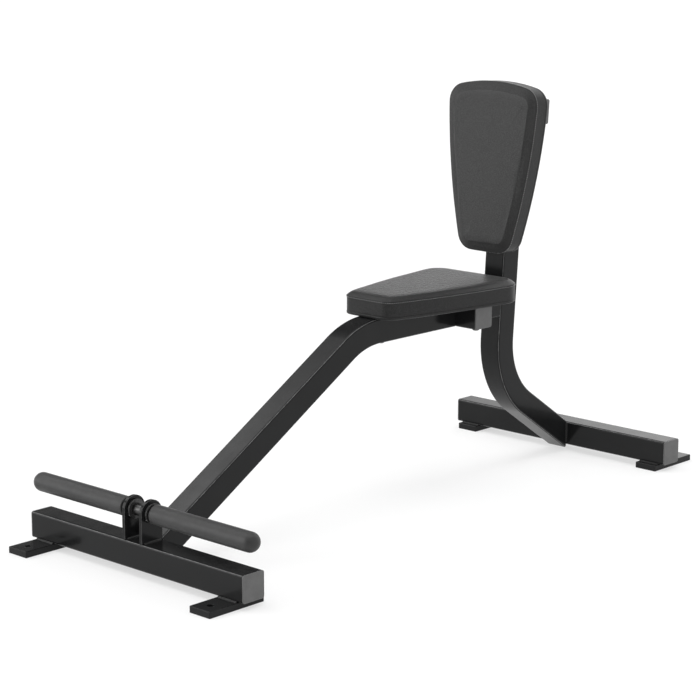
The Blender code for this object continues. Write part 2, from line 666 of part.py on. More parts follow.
def grip(name, side, axis):
    """Make a round-ended rubber grip over one end of the foot bar."""
    radius = GRIP_DIAMETER / 2
    length = FOOT_BAR_LENGTH / 2 - GRIP_START_X
    bore = BAR_DIAMETER / 2 + GAP
    depth = BAR_END_X + GAP - GRIP_START_X
    turn = math.pi / 2 / GRIP_ARC_STEPS
    profile = [(radius * math.sin(turn * k), length - radius + radius * math.cos(turn * k))
               for k in range(GRIP_ARC_STEPS + 1)]
    profile += [(radius, GRIP_EDGE), (radius - GRIP_EDGE, 0), (bore, 0), (bore, depth), (0, depth)]
    turned(name, profile, GREY_RUBBER, ROUND_STEPS, (side * GRIP_START_X, 0, 0),
           (0, side * math.radians(90), 0), axis)


def foot_bar():
    """Make the lugs and bushes on the front base and the bar that turns in them."""
    axis = add_empty("foot_bar_axis", (0, FRONT_BASE_Y, BAR_Z))
    bar = cylinder_mesh(BAR_DIAMETER / 2, 2 * BAR_END_X, ROUND_STEPS)
    add_object("foot_bar", bar, PLATED_STEEL, (0, 0, 0), ALONG_X, axis)
    bush_width = LUG_THICKNESS + 2 * BUSH_PROUD
    collar_bore = BAR_DIAMETER / 2 + GAP
    for word, side in SIDES:
        lug("foot_bar_lug_" + word, side)
        middle_x = side * (LUG_INNER_X + LUG_THICKNESS / 2)
        add_ring("bush_" + word, BUSH_RADIUS, BUSH_BORE_RADIUS, bush_width, BRONZE, middle_x, axis)
        for place, x in (("inner", INNER_COLLAR_X), ("outer", OUTER_COLLAR_X)):
            add_ring(place + "_collar_" + word, COLLAR_DIAMETER / 2, collar_bore, COLLAR_WIDTH,
                     BLACK_OXIDE, side * x, axis)
        grip("foot_grip_" + word, side, axis)


clear_scene()
BENCH = new_collection("utility_bench")
CUTTERS = new_collection("cutters")
base_assembly("front", FRONT_BASE_Y, -1)
base_assembly("rear", REAR_BASE_Y, 1)
main_tube()
seat()
back_rest()
foot_bar()
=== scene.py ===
"""Dressed look of the utility bench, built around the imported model.

Lengths are in metres. The bench lies along Y with its front at -Y, and the floor is z = 0.
"""
import sys
import logging
import math
from dataclasses import dataclass, field
from enum import Enum
from typing import Iterable, Sequence, Union

import bmesh
import bpy
from mathutils import Matrix, Vector, noise
from mathutils.bvhtree import BVHTree
from mathutils.geometry import intersect_sphere_sphere_2d


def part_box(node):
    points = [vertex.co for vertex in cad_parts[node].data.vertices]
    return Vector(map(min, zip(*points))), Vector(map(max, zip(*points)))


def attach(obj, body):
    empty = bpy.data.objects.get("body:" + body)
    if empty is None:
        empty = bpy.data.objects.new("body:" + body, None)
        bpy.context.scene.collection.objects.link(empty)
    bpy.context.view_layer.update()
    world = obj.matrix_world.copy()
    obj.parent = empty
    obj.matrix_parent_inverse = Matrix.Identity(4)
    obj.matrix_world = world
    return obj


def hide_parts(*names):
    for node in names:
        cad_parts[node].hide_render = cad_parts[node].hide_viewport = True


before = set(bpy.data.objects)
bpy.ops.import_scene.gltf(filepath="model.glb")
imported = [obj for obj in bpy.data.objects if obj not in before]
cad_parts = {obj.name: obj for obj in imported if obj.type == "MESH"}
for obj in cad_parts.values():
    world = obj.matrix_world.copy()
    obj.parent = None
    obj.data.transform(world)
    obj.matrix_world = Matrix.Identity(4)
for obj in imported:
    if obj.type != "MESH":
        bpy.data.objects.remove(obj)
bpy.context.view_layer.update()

LOG = logging.getLogger("bench")

Point = Sequence[float]
Ring = list[Vector]
Colour = tuple[float, float, float, float]
Material = bpy.types.Material
Mesh = bmesh.types.BMesh
Socket = bpy.types.NodeSocket
Value = Union[Socket, float, Point]

GAP = 0.0003
TUBE = 0.060
HALF_TUBE = TUBE / 2
SIDES = (("left", -1), ("right", 1))
UP = Vector((0, 0, 1))
WHITE = (1.0, 1.0, 1.0, 1.0)
NOISE_ENDS = (0.3, 0.7)
SHARP_DOTS = (0.80, 0.985)


class Body(Enum):
    """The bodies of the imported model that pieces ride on."""

    FRAME = "frame"
    FOOT_BAR = "foot_bar"


class Slot(Enum):
    """Names of material slots; no piece here takes them."""

    PAINT = "frame_paint"
    COVER = "pad_cover"
    FASTENER = "fastener"
    BAR = "bar_steel"
    COLLAR = "collar_steel"
    GRIP = "grip_rubber"


@dataclass(frozen=True)
class Noise:
    """A noise: its cycles per metre, how many finer octaves it has, and its stretch along the axes."""

    scale: float
    detail: float = 2.0
    stretch: tuple[float, float, float] = (1, 1, 1)


@dataclass(frozen=True)
class Bump:
    """A layer of bumps: its noise, its depth in metres and its strength."""

    noise: Noise
    depth: float
    strength: float


class Nodes:
    """A node tree, with short ways to add to it."""

    def __init__(self, tree: bpy.types.NodeTree) -> None:
        """Take a node tree to add to."""
        self.tree = tree

    def node(self, kind: str, inputs: dict | None = None, **settings) -> bpy.types.Node:
        """Add a node.

        Args:
            kind: Blender's name of the node's type.
            inputs: A value or an output socket for each input, by its name or number.
            settings: Values of the node's own properties.

        Returns:
            The new node.
        """
        made = self.tree.nodes.new(kind)
        for name, value in settings.items():
            setattr(made, name, value)
        for name, value in (inputs or {}).items():
            self.feed(made.inputs[name], value)
        return made

    def feed(self, socket: Socket, value: Value) -> None:
        """Give an input its value.

        Args:
            socket: The input.
            value: An output socket to link to it, or a value to set on it.
        """
        if isinstance(value, Socket):
            self.tree.links.new(value, socket)
        else:
            socket.default_value = value

    def span(self, value: Socket, low: float, high: float, start: float = NOISE_ENDS[0],
             end: float = NOISE_ENDS[1], **settings) -> Socket:
        """Return a value mapped from start..end to low..high and held at those ends."""
        inputs = {"Value": value, "From Min": start, "From Max": end, "To Min": low, "To Max": high}
        return self.node("ShaderNodeMapRange", inputs, **settings).outputs["Result"]


class Graph(Nodes):
    """The node tree of one material, round its Principled shader."""

    def __init__(self, name: str) -> None:
        """Start a material that has only its Principled shader.

        Args:
            name: The material's name.
        """
        self.material = bpy.data.materials.new(name)
        self.material.use_nodes = True
        super().__init__(self.material.node_tree)
        self.shader = self.tree.nodes["Principled BSDF"]
        self.place = self.node("ShaderNodeTexCoord").outputs["Object"]
        self.noises = {}

    def set(self, **values) -> None:
        """Feed inputs of the Principled shader, with _ for the spaces in their names."""
        for name, value in values.items():
            self.feed(self.shader.inputs[name.replace("_", " ")], value)

    def noise(self, noise: Noise) -> Socket:
        """Add a noise, once for all its uses.

        Args:
            noise: The noise.

        Returns:
            Its value, mostly 0.3 to 0.7.
        """
        if noise not in self.noises:
            mapped = self.node("ShaderNodeMapping", {"Vector": self.place, "Scale": noise.stretch})
            inputs = {"Vector": mapped.outputs[0], "Scale": noise.scale, "Detail": noise.detail}
            self.noises[noise] = self.node("ShaderNodeTexNoise", inputs).outputs["Fac"]
        return self.noises[noise]

    def cells(self, scale: float) -> Socket:
        """Return the distance field of cells of a scale in cells per metre."""
        return self.node("ShaderNodeTexVoronoi", {"Vector": self.place, "Scale": scale}).outputs["Distance"]

    def times(self, first: Socket, second: Value) -> Socket:
        """Return the product of two values."""
        return self.node("ShaderNodeMath", {0: first, 1: second}, operation="MULTIPLY").outputs[0]

    def blend(self, share: Socket, first: Value, second: Value) -> Socket:
        """Return a colour between two, by a share."""
        return self.node("ShaderNodeMix", {0: share, 6: first, 7: second}, data_type="RGBA").outputs[2]

    def rounded(self, radius: float) -> Socket:
        """Return the normal as if every edge were rounded by a radius."""
        return self.node("ShaderNodeBevel", {"Radius": radius}, samples=6).outputs["Normal"]

    def edges(self, radius: float) -> Socket:
        """Find the sharp edges.

        Args:
            radius: The rounding that makes them show.

        Returns:
            A mask that is 1 at sharp edges and 0 away from them.
        """
        plain = self.node("ShaderNodeNewGeometry").outputs["Normal"]
        normals = {0: self.rounded(radius), 1: plain}
        dot = self.node("ShaderNodeVectorMath", normals, operation="DOT_PRODUCT").outputs["Value"]
        return self.span(dot, 1.0, 0.0, *SHARP_DOTS)

    def bumps(self, layers: Iterable[tuple], normal: Socket | None = None) -> Socket:
        """Lay bumps over a normal.

        Args:
            layers: The height, the depth in metres and the strength of each layer.
            normal: The normal to start from, or None for the surface's own.

        Returns:
            The bumpy normal.
        """
        for height, depth, strength in layers:
            inputs = {"Height": height, "Distance": depth, "Strength": strength}
            if normal is not None:
                inputs["Normal"] = normal
            normal = self.node("ShaderNodeBump", inputs).outputs["Normal"]
        return normal


def grey(value: float, warmth: float = 0.0) -> Colour:
    """Return a grey colour, a little warmer or cooler."""
    return (value * (1 + warmth), value, value * (1 - warmth), 1.0)


@dataclass(frozen=True)
class Finish:
    """A finish: two colours that drift into each other, edges painted lighter as a highlight, gloss and
    layers of bumps.
    """

    name: str
    dark: Colour
    light: Colour
    rough: tuple[float, float]
    drift: Noise
    gloss: Noise | None = None
    bumps: tuple[Bump, ...] = ()
    drift_ends: tuple[float, float] = NOISE_ENDS
    edge: Colour | None = None
    edge_share: float = 1.0
    edge_radius: float = 0.0
    ior: float = 1.5
    metal: float = 0.0
    sheen: float = 0.0
    sheen_rough: float = 0.5
    sheen_tint: Colour = WHITE

    def make(self) -> Material:
        """Make the material.

        Returns:
            The new material.
        """
        g = Graph(self.name)
        normal = g.rounded(self.edge_radius) if self.edge_radius else None
        g.set(Base_Color=self.colour(g), Roughness=self.roughness(g), Metallic=self.metal, IOR=self.ior,
              Sheen_Weight=self.sheen, Sheen_Roughness=self.sheen_rough, Sheen_Tint=self.sheen_tint,
              Normal=g.bumps(self.layers(g), normal))
        return g.material

    def colour(self, g: Graph) -> Socket:
        """Mix the colour.

        Args:
            g: The material's node tree.

        Returns:
            The colour, with the edges painted lighter as a highlight.
        """
        body = g.blend(g.span(g.noise(self.drift), 0.0, 1.0, *self.drift_ends), self.dark, self.light)
        # Painted highlight: the edges blend towards the lighter edge colour.
        return body if self.edge is None else g.blend(self.painted_edge_light(g), body, self.edge)

    def painted_edge_light(self, g: Graph) -> Socket:
        """Return how far the edges are painted lighter as a highlight, 0 to 1."""
        return g.times(g.edges(self.edge_radius), self.edge_share)

    def roughness(self, g: Graph) -> Value:
        """Return the roughness, which is the same all over where no noise changes the gloss."""
        return self.rough[0] if self.gloss is None else g.span(g.noise(self.gloss), *self.rough)

    def layers(self, g: Graph) -> list[tuple]:
        """Return the height, the depth and the strength of each layer of bumps."""
        return [(g.noise(bump.noise), bump.depth, bump.strength) for bump in self.bumps]


@dataclass(frozen=True)
class PowderCoat(Finish):
    """Smooth black powder coat with a fine orange peel, and a patchy painted highlight on its sharp edges.
    """

    name: str = "black_powder_coat"
    dark: Colour = grey(0.010, -0.02)
    light: Colour = grey(0.013, -0.02)
    rough: tuple[float, float] = (0.11, 0.20)
    drift: Noise = Noise(7, 3)
    gloss: Noise = Noise(24, 4)
    bumps: tuple[Bump, ...] = (Bump(Noise(330, 2), 0.00035, 0.10), Bump(Noise(1500, 1), 0.0001, 0.05))
    # Painted highlight colour for the sharp edges.
    edge: Colour = grey(0.050)
    edge_radius: float = 0.0011
    ior: float = 1.25
    uneven: Noise = Noise(160, 4)
    least_painted_edge_light: float = 0.25

    def painted_edge_light(self, g: Graph) -> Socket:
        """Return how far the edges are painted lighter as a highlight, in patches, 0 to 1."""
        return g.times(super().painted_edge_light(g), g.span(g.noise(self.uneven), self.least_painted_edge_light, 1.0))


@dataclass(frozen=True)
class WeldSkin(Finish):
    """The same coat over a weld bead, speckled over a fine spatter."""

    name: str = "coated_weld"
    dark: Colour = grey(0.006)
    light: Colour = grey(0.018)
    rough: tuple[float, float] = (0.22, 0.42)
    drift: Noise = Noise(420, 3)
    gloss: Noise = Noise(900, 3)
    bumps: tuple[Bump, ...] = (Bump(Noise(900, 3), 0.0004, 0.25),)
    ior: float = 1.30


@dataclass(frozen=True)
class EdgeHighlightCoat(Finish):
    """The powder coat on the tubes' rounded corners, painted lighter in patches as a highlight line."""

    name: str = "edge_highlight_powder_coat"
    dark: Colour = grey(0.045)
    light: Colour = grey(0.20)
    rough: tuple[float, float] = (0.20, 0.36)
    drift: Noise = Noise(70, 5)
    drift_ends: tuple[float, float] = (0.25, 0.65)
    gloss: Noise = Noise(300, 3)
    bumps: tuple[Bump, ...] = (Bump(Noise(330, 2), 0.0003, 0.10),)
    ior: float = 1.35


@dataclass(frozen=True)
class MouldedPlastic(Finish):
    """Dark grey moulded plastic with a fine spark-eroded texture and a painted highlight on its edges."""

    name: str = "moulded_cap_plastic"
    dark: Colour = grey(0.092)
    light: Colour = grey(0.112)
    rough: tuple[float, float] = (0.38, 0.52)
    drift: Noise = Noise(55, 4)
    gloss: Noise = Noise(120, 3)
    bumps: tuple[Bump, ...] = (Bump(Noise(1900, 2), 0.00025, 0.22),)
    # Painted highlight colour for the caps' edges.
    edge: Colour = grey(0.19)
    edge_radius: float = 0.0012
    ior: float = 1.45


@dataclass(frozen=True)
class Thread(Finish):
    """Grey polyester thread, whose twist shows in its colour and its surface alike."""

    name: str = "seam_thread"
    dark: Colour = grey(0.25)
    light: Colour = grey(0.45)
    rough: tuple[float, float] = (0.55, 0.55)
    drift: Noise = Noise(2600, 1)
    bumps: tuple[Bump, ...] = (Bump(Noise(2600, 1), 0.0003, 0.5),)
    sheen: float = 0.2


@dataclass(frozen=True)
class StainedBoard(Finish):
    """Plywood sealed in black, with its grain along the pad showing through."""

    name: str = "stained_plywood"
    dark: Colour = grey(0.010, 0.05)
    light: Colour = grey(0.034, 0.10)
    rough: tuple[float, float] = (0.48, 0.70)
    drift: Noise = Noise(90, 5, (1.0, 0.06, 0.06))
    gloss: Noise = Noise(900, 3, (1.0, 0.03, 0.03))
    bumps: tuple[Bump, ...] = (Bump(Noise(900, 3, (1.0, 0.03, 0.03)), 0.0005, 0.3),)
    edge_radius: float = 0.0006
    ior: float = 1.45


@dataclass(frozen=True)
class GripRubber(Finish):
    """Matte dark grey rubber with a fine pebble and a chalky bloom."""

    name: str = "grip_rubber"
    dark: Colour = grey(0.017)
    light: Colour = grey(0.026)
    rough: tuple[float, float] = (0.46, 0.56)
    drift: Noise = Noise(30, 5, (0.35, 1, 1))
    gloss: Noise = Noise(90, 3)
    bumps: tuple[Bump, ...] = (Bump(Noise(3200, 2), 0.0001, 0.2),)
    ior: float = 1.45
    sheen: float = 0.05
    pebble: tuple[float, float, float] = (1300, 0.0003, 0.25)

    def layers(self, g: Graph) -> list[tuple]:
        """Return the layers of bumps, over cells for the pebble."""
        cells, depth, strength = self.pebble
        return [(g.cells(cells), depth, strength), *super().layers(g)]


@dataclass(frozen=True)
class TurnedMetal(Finish):
    """A metal turned on a lathe: fine rings round X, scratches, a duller film in places and a painted
    highlight on its edges.
    """

    drift: Noise = Noise(60, 4)
    gloss: Noise = Noise(140, 3)
    bumps: tuple[Bump, ...] = (Bump(Noise(2200, 2, (1.0, 0.02, 0.02)), 0.0001, 0.3),)
    # Painted highlight: the edges blend towards white.
    edge: Colour = WHITE
    edge_share: float = 0.25
    edge_radius: float = 0.0005
    metal: float = 1.0


@dataclass(frozen=True)
class UpholsteryVinyl(Finish):
    """Black upholstery vinyl: a pebbled grain whose tops are rubbed lighter, over firm foam.

    The pebble is the noise of its gloss, and it is rubbed in wide patches by the noise of its drift.
    """

    drift: Noise = Noise(9, 4)
    gloss: Noise = Noise(330, 3)
    ior: float = 1.25
    sheen_rough: float = 0.45
    sheen_tint: Colour = grey(0.8)
    rubbed: Colour = WHITE
    most_rubbed: float = 0.35
    grain: float = 560.0
    grain_ends: tuple[float, float] = (0.15, 0.75)
    pebble_ends: tuple[float, float] = (0.38, 0.62)
    least_pebble: float = 0.25
    pebble_depth: float = 0.0012
    pebble_strength: float = 0.12
    grain_depth: float = 0.0006
    grain_strength: float = 0.32
    skin: Bump = Bump(Noise(2400, 2), 0.0002, 0.12)
    foam: Noise = Noise(110, 3)
    foam_depth: float = 0.0024
    dimple: float = 0.0

    def speckle(self, g: Graph) -> Socket:
        """Find the tops of the grain.

        Args:
            g: The material's node tree.

        Returns:
            A mask that is 1 at the tops and 0 in the valleys.
        """
        tops = g.span(g.cells(self.grain), 1.0, 0.0, *self.grain_ends)
        return g.times(tops, g.span(g.noise(self.gloss), self.least_pebble, 1.0, *self.pebble_ends))

    def colour(self, g: Graph) -> Socket:
        """Return the colour, with the tops of the grain lighter and wide patches rubbed."""
        body = g.blend(self.speckle(g), self.dark, self.light)
        return g.blend(g.span(g.noise(self.drift), 0.0, self.most_rubbed), body, self.rubbed)

    def roughness(self, g: Graph) -> Value:
        """Return the roughness, with the tops of the grain glossier."""
        return g.span(self.speckle(g), *self.rough, 0.0, 1.0)

    def layers(self, g: Graph) -> list[tuple]:
        """Stack the pebble, the grain, the fine skin and the dimples of the foam.

        Args:
            g: The material's node tree.

        Returns:
            The height, the depth and the strength of each layer.
        """
        return [(g.noise(self.gloss), self.pebble_depth, self.pebble_strength),
                (g.cells(self.grain), self.grain_depth, self.grain_strength),
                (g.noise(self.skin.noise), self.skin.depth, self.skin.strength),
                (g.noise(self.foam), self.foam_depth, self.dimple)]


def once(finish: Finish) -> Material:
    """Return a dataclass field that holds a finish's material, made with its owner."""
    return field(default_factory=finish.make)


@dataclass(frozen=True)
class Workshop:
    """Every finish of the bench, each made once."""

    paint: Material = once(PowderCoat())
    weld: Material = once(WeldSkin())
    plastic: Material = once(MouldedPlastic())
    # A lighter coat for the rounded corners: a painted highlight line.
    edge_highlight: Material = once(EdgeHighlightCoat())
    # The panels' vinyl is a lighter copy of the borders': painted light on the top, painted shade on the
    # shoulders.
    seat_border_shaded: Material = once(UpholsteryVinyl(
        "seat_border_shaded_vinyl", grey(0.014), grey(0.044), (0.44, 0.32), rubbed=grey(0.030), sheen=0.03))
    seat_panel_lit: Material = once(UpholsteryVinyl(
        "seat_panel_lit_vinyl", grey(0.027), grey(0.068), (0.36, 0.24), rubbed=grey(0.046), sheen=0.04,
        gloss=Noise(150, 3), pebble_strength=0.60, dimple=0.95))
    rest_border_shaded: Material = once(UpholsteryVinyl(
        "rest_border_shaded_vinyl", grey(0.021), grey(0.048), (0.44, 0.32), rubbed=grey(0.036), sheen=0.03))
    rest_panel_lit: Material = once(UpholsteryVinyl(
        "rest_panel_lit_vinyl", grey(0.030), grey(0.060), (0.38, 0.27), rubbed=grey(0.044), sheen=0.04,
        pebble_strength=0.24, dimple=0.06))
    thread: Material = once(Thread())
    board: Material = once(StainedBoard())
    rubber: Material = once(GripRubber())
    oxide: Material = once(TurnedMetal("black_oxide_steel", grey(0.030), grey(0.060), (0.24, 0.40)))
    # The collar's edges take a stronger share of the painted highlight.
    collar: Material = once(TurnedMetal(
        "blackened_collar", grey(0.045), grey(0.080), (0.20, 0.32), metal=0.6, edge_share=0.5))
    steel: Material = once(TurnedMetal("plated_bar", grey(0.05), grey(0.10), (0.26, 0.42)))
    bronze: Material = once(TurnedMetal(
        "sintered_bronze", (0.24, 0.15, 0.06, 1.0), (0.40, 0.27, 0.12, 1.0), (0.34, 0.52)))
    zinc: Material = once(TurnedMetal("zinc_wire", grey(0.50), grey(0.70), (0.22, 0.38)))


def loft(bm: Mesh, rings: Sequence[Ring], closed: bool = False) -> list[list]:
    """Join a row of rings of points into one skin.

    Args:
        bm: The mesh that receives the skin.
        rings: Rings with equal counts of points. A ring of one point is a pole.
        closed: Whether the last ring joins the first, as in a torus.

    Returns:
        The rings of vertices.
    """
    rows = [[bm.verts.new(point) for point in ring] for ring in rings]
    pairs = list(zip(rows, rows[1:]))
    if closed:
        pairs.append((rows[-1], rows[0]))
    for low, high in pairs:
        count = max(len(low), len(high))
        for k in range(count):
            here = (k, (k + 1) % count)
            corners = [low[i % len(low)] for i in here] + [high[i % len(high)] for i in reversed(here)]
            bm.faces.new(list(dict.fromkeys(corners)))
    return rows


def bar_of(bm: Mesh, rings: Sequence[Ring]) -> None:
    """Join a row of rings into one skin, and close each end with a face.

    Args:
        bm: The mesh that receives it.
        rings: Rings with equal counts of points.
    """
    rows = loft(bm, rings)
    bm.faces.new(rows[0])
    bm.faces.new(rows[-1])


def circle(radius: float, z: float, steps: int) -> Ring:
    """Draw a circle about Z.

    Args:
        radius: Its radius, or nought for its centre alone.
        z: Its height.
        steps: How many points it has.

    Returns:
        The points.
    """
    if radius <= 0:
        return [Vector((0, 0, z))]
    turn = math.tau / steps
    return [Vector((radius * math.cos(turn * k), radius * math.sin(turn * k), z)) for k in range(steps)]


def hexagon(flats: float, z: float, steps: int) -> Ring:
    """Draw a hexagon about Z, with as many points as a circle has.

    Args:
        flats: Its width over flats.
        z: Its height.
        steps: How many points it has.

    Returns:
        The points.
    """
    sixth = math.tau / 6
    ring = []
    for angle in (math.tau / steps * k for k in range(steps)):
        reach = flats / 2 / math.cos(angle % sixth - sixth / 2)
        ring.append(Vector((reach * math.cos(angle), reach * math.sin(angle), z)))
    return ring


def arc_points(centre: Point, radius: float, start: float, end: float, steps: int) -> list[tuple]:
    """Return the points of an arc between two angles in degrees."""
    angles = [math.radians(start + (end - start) * k / steps) for k in range(steps + 1)]
    return [(centre[0] + radius * math.cos(a), centre[1] + radius * math.sin(a)) for a in angles]


def turned(rows: Iterable[tuple], steps: int, closed: bool = False) -> Mesh:
    """Turn a profile about Z.

    Args:
        rows: The profile's (radius, z) points.
        steps: How many flats the turned piece has.
        closed: Whether the profile is a loop.

    Returns:
        The turned mesh.
    """
    bm = bmesh.new()
    loft(bm, [circle(radius, z, steps) for radius, z in rows], closed)
    return bm


def link_mesh(name: str, bm: Mesh, *materials: Material) -> bpy.types.Object:
    """Put a mesh in the scene.

    Args:
        name: Its object's name.
        bm: The mesh, which is freed.
        materials: Its materials, in the order of its faces' material indices.

    Returns:
        The new object.
    """
    mesh = bpy.data.meshes.new(name)
    bm.to_mesh(mesh)
    bm.free()
    for material in materials:
        mesh.materials.append(material)
    thing = bpy.data.objects.new(name, mesh)
    bpy.context.scene.collection.objects.link(thing)
    return thing


def add_piece(name: str, bm: Mesh, materials: Sequence[Material], body: Body,
              place: Matrix = Matrix(), stands_for: str = "", crease: float = 35.0) -> bpy.types.Object:
    """Make a piece from a mesh and put it on a body.

    Args:
        name: The piece's name.
        bm: Its mesh, which is freed.
        materials: Its materials, in the order of its faces' material indices.
        body: The body that it rides on.
        place: Where the mesh goes.
        stands_for: The CAD node that it replaces, if it replaces one.
        crease: The angle in degrees over which an edge stays sharp.

    Returns:
        The new object.
    """
    bmesh.ops.transform(bm, matrix=place, verts=bm.verts[:])
    bmesh.ops.recalc_face_normals(bm, faces=bm.faces[:])
    piece = link_mesh(name, bm, *materials)
    piece.data.shade_smooth()
    piece.data.set_sharp_from_angle(angle=math.radians(crease))
    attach(piece, body.value)
    if stands_for:
        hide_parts(stands_for)
    LOG.info("%s: %d faces on %s", name, len(piece.data.polygons), body.value)
    return piece


def dress(nodes: Iterable[str], material: Material) -> None:
    """Give CAD nodes a better material in their own slots.

    Args:
        nodes: The nodes' names.
        material: The material.
    """
    for name in nodes:
        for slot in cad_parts[name].material_slots:
            slot.material = material
        LOG.info("%s: dressed in %s", name, material.name)


def tree_of(mesh: bpy.types.Mesh) -> BVHTree:
    """Return a mesh's faces as a tree that rays are cast on."""
    faces = [tuple(face.vertices) for face in mesh.polygons]
    return BVHTree.FromPolygons([vertex.co.copy() for vertex in mesh.vertices], faces)


def evaluated_mesh(thing: bpy.types.Object) -> bpy.types.Mesh:
    """Return a new mesh of an object with its modifiers."""
    return bpy.data.meshes.new_from_object(thing.evaluated_get(bpy.context.evaluated_depsgraph_get()))


@dataclass(frozen=True)
class Glow:
    """A round patch of the sky with a level of its own, fading out at its rim. Angles are in degrees."""

    azimuth: float
    elevation: float
    reach: float
    fade: float
    level: float

    def direction(self) -> Vector:
        """Find the direction towards the patch.

        Returns:
            The direction, of length 1.
        """
        turn = math.radians(self.azimuth)
        rise = math.radians(self.elevation)
        flat = math.cos(rise)
        return Vector((flat * math.cos(turn), flat * math.sin(turn), math.sin(rise)))

    def rim(self) -> list[float]:
        """Return the cosines of the angles where the patch has faded out and where it starts to fade."""
        return [math.cos(math.radians(angle)) for angle in (self.reach + self.fade, self.reach)]


@dataclass
class Studio:
    """The camera of the photograph, a pale floor and a soft white sky with brighter and darker parts."""

    camera_place: Point = (3.3892, -3.6926, 1.4613)
    camera_turn: float = 43.21
    camera_pitch: float = 12.27
    lens: float = 113.0
    sensor: float = 36.0
    sight: float = 200.0
    floor_reach: float = 45.0
    floor_colour: float = 0.34
    floor_drift: float = 1.01
    floor_rough: float = 0.9
    floor_patches: Noise = Noise(3, 2)
    floor_glow: float = 0.60
    horizon: float = 1.10
    overhead: float = 0.65
    sky_band: tuple[float, float] = (0.26, 0.50)
    glows: tuple[Glow, ...] = (
        Glow(110, 12, 12, 14, 1.70),
        Glow(146, 29, 13, 12, 0.15),
        Glow(-172, 47, 9, 6, 3.4),
        Glow(-132, 13, 17, 12, 3.6),
        Glow(-72, 4, 26, 8, 0.20),
        Glow(85, 42, 6, 6, 5.0),
        Glow(0, 90, 14, 12, 3.5),
    )

    def build(self) -> None:
        """Make the camera, the light and the floor, and show colours as lit, without a film curve."""
        bpy.context.scene.view_settings.view_transform = "Standard"
        self.camera()
        self.light()
        self.floor()

    def camera(self) -> None:
        """Place the camera where the photograph was taken from."""
        data = bpy.data.cameras.new("camera")
        data.lens = self.lens
        data.sensor_width = self.sensor
        data.clip_end = self.sight
        camera = bpy.data.objects.new("camera", data)
        camera.location = self.camera_place
        camera.rotation_euler = (math.radians(90 - self.camera_pitch), 0, math.radians(self.camera_turn))
        bpy.context.scene.collection.objects.link(camera)
        bpy.context.scene.camera = camera

    def light(self) -> None:
        """Light the bench from a soft white sky: a level for its height, then each patch over it."""
        world = bpy.data.worlds.new("studio")
        bpy.context.scene.world = world
        world.use_nodes = True
        sky = Nodes(world.node_tree)
        place = sky.node("ShaderNodeTexCoord").outputs["Generated"]
        height = sky.node("ShaderNodeSeparateXYZ", {0: place}).outputs["Z"]
        smooth = {"interpolation_type": "SMOOTHSTEP"}
        level = sky.span(height, self.horizon, self.overhead, *self.sky_band, **smooth)
        for glow in self.glows:
            dot = sky.node("ShaderNodeVectorMath", {0: place, 1: glow.direction()}, operation="DOT_PRODUCT")
            share = sky.span(dot.outputs["Value"], 0.0, 1.0, *glow.rim(), **smooth)
            level = sky.node("ShaderNodeMix", {0: share, 2: level, 3: glow.level}).outputs[0]
        background = world.node_tree.nodes["Background"]
        sky.feed(background.inputs["Color"], WHITE)
        sky.feed(background.inputs["Strength"], level)

    def floor(self) -> None:
        """Lay a pale floor that fills the view."""
        bm = bmesh.new()
        reach = self.floor_reach
        corners = ((-reach, -reach), (reach, -reach), (reach, reach), (-reach, reach))
        bm.faces.new([bm.verts.new((x, y, 0)) for x, y in corners])
        g = Graph("pale_floor")
        colours = [grey(self.floor_colour * share) for share in (1.0, self.floor_drift)]
        g.set(Base_Color=g.blend(g.span(g.noise(self.floor_patches), 0.0, 1.0), *colours),
              Roughness=self.floor_rough, Emission_Color=WHITE, Emission_Strength=self.floor_glow)
        link_mesh("studio_floor", bm, g.material)


@dataclass(frozen=True)
class SquareTube:
    """The section of the frame's square tube, with its rounded corners."""

    corner: float = 0.005
    corner_steps: int = 7
    lead: float = 0.0008

    def outline(self) -> Ring:
        """Draw the rounded square. Each flat has a point close to both its ends, so that it is shaded flat.

        Returns:
            The (across, up) points, anticlockwise.
        """
        reach = HALF_TUBE - self.corner
        points = []
        for k, corner in enumerate(((1, 1), (-1, 1), (-1, -1), (1, -1))):
            centre = Vector(corner) * reach
            turns = [math.pi / 2 * (k + step / self.corner_steps) for step in range(self.corner_steps + 1)]
            arc = [Vector((math.cos(turn), math.sin(turn))) for turn in turns]
            points.append(centre + arc[0] * self.corner - arc[-1] * self.lead)
            points += [centre + out * self.corner for out in arc]
            points.append(centre + arc[-1] * self.corner - arc[0] * self.lead)
        return points

    def skin(self, node: str, rings: Sequence[Ring], shop: Workshop) -> None:
        """Make a tube from its rings, with a painted highlight strip along each corner, and let it replace
        its node.

        Args:
            node: The CAD node that it replaces.
            rings: The tube's rings, each with the outline's points in order.
            shop: The finishes.
        """
        bm = bmesh.new()
        bar_of(bm, rings)
        quarter = self.corner_steps + 3
        middle = 1 + self.corner_steps // 2
        # The middle face of each rounded corner takes the painted highlight coat.
        for number, face in enumerate(bm.faces):
            if number % quarter == middle:
                face.material_index = 1
        add_piece(node + "_smooth", bm, (shop.paint, shop.edge_highlight), Body.FRAME, stands_for=node)


SQUARE_TUBE = SquareTube()


def heading(angle: float) -> Vector:
    """Return the (y, z) direction in the middle plane at an angle in degrees from +Y towards +Z."""
    return Vector((math.cos(math.radians(angle)), math.sin(math.radians(angle))))


@dataclass
class TubeEnd:
    """One end of a bent tube: its (y, z) place, the tube's angle there, and the plane that it is cut to."""

    place: Point
    angle: float
    cut_place: Point
    cut_angle: float

    def trim(self, ring: Ring) -> Ring:
        """Slide a ring's points along the tube on to the plane.

        Args:
            ring: The ring at this end.

        Returns:
            The trimmed ring.
        """
        along = heading(self.angle)
        normal = heading(self.cut_angle)
        trimmed = []
        for point in ring:
            away = (Vector(self.cut_place) - point.yz).dot(normal) / along.dot(normal)
            trimmed.append(Vector((point.x, point.y + along.x * away, point.z + along.y * away)))
        return trimmed


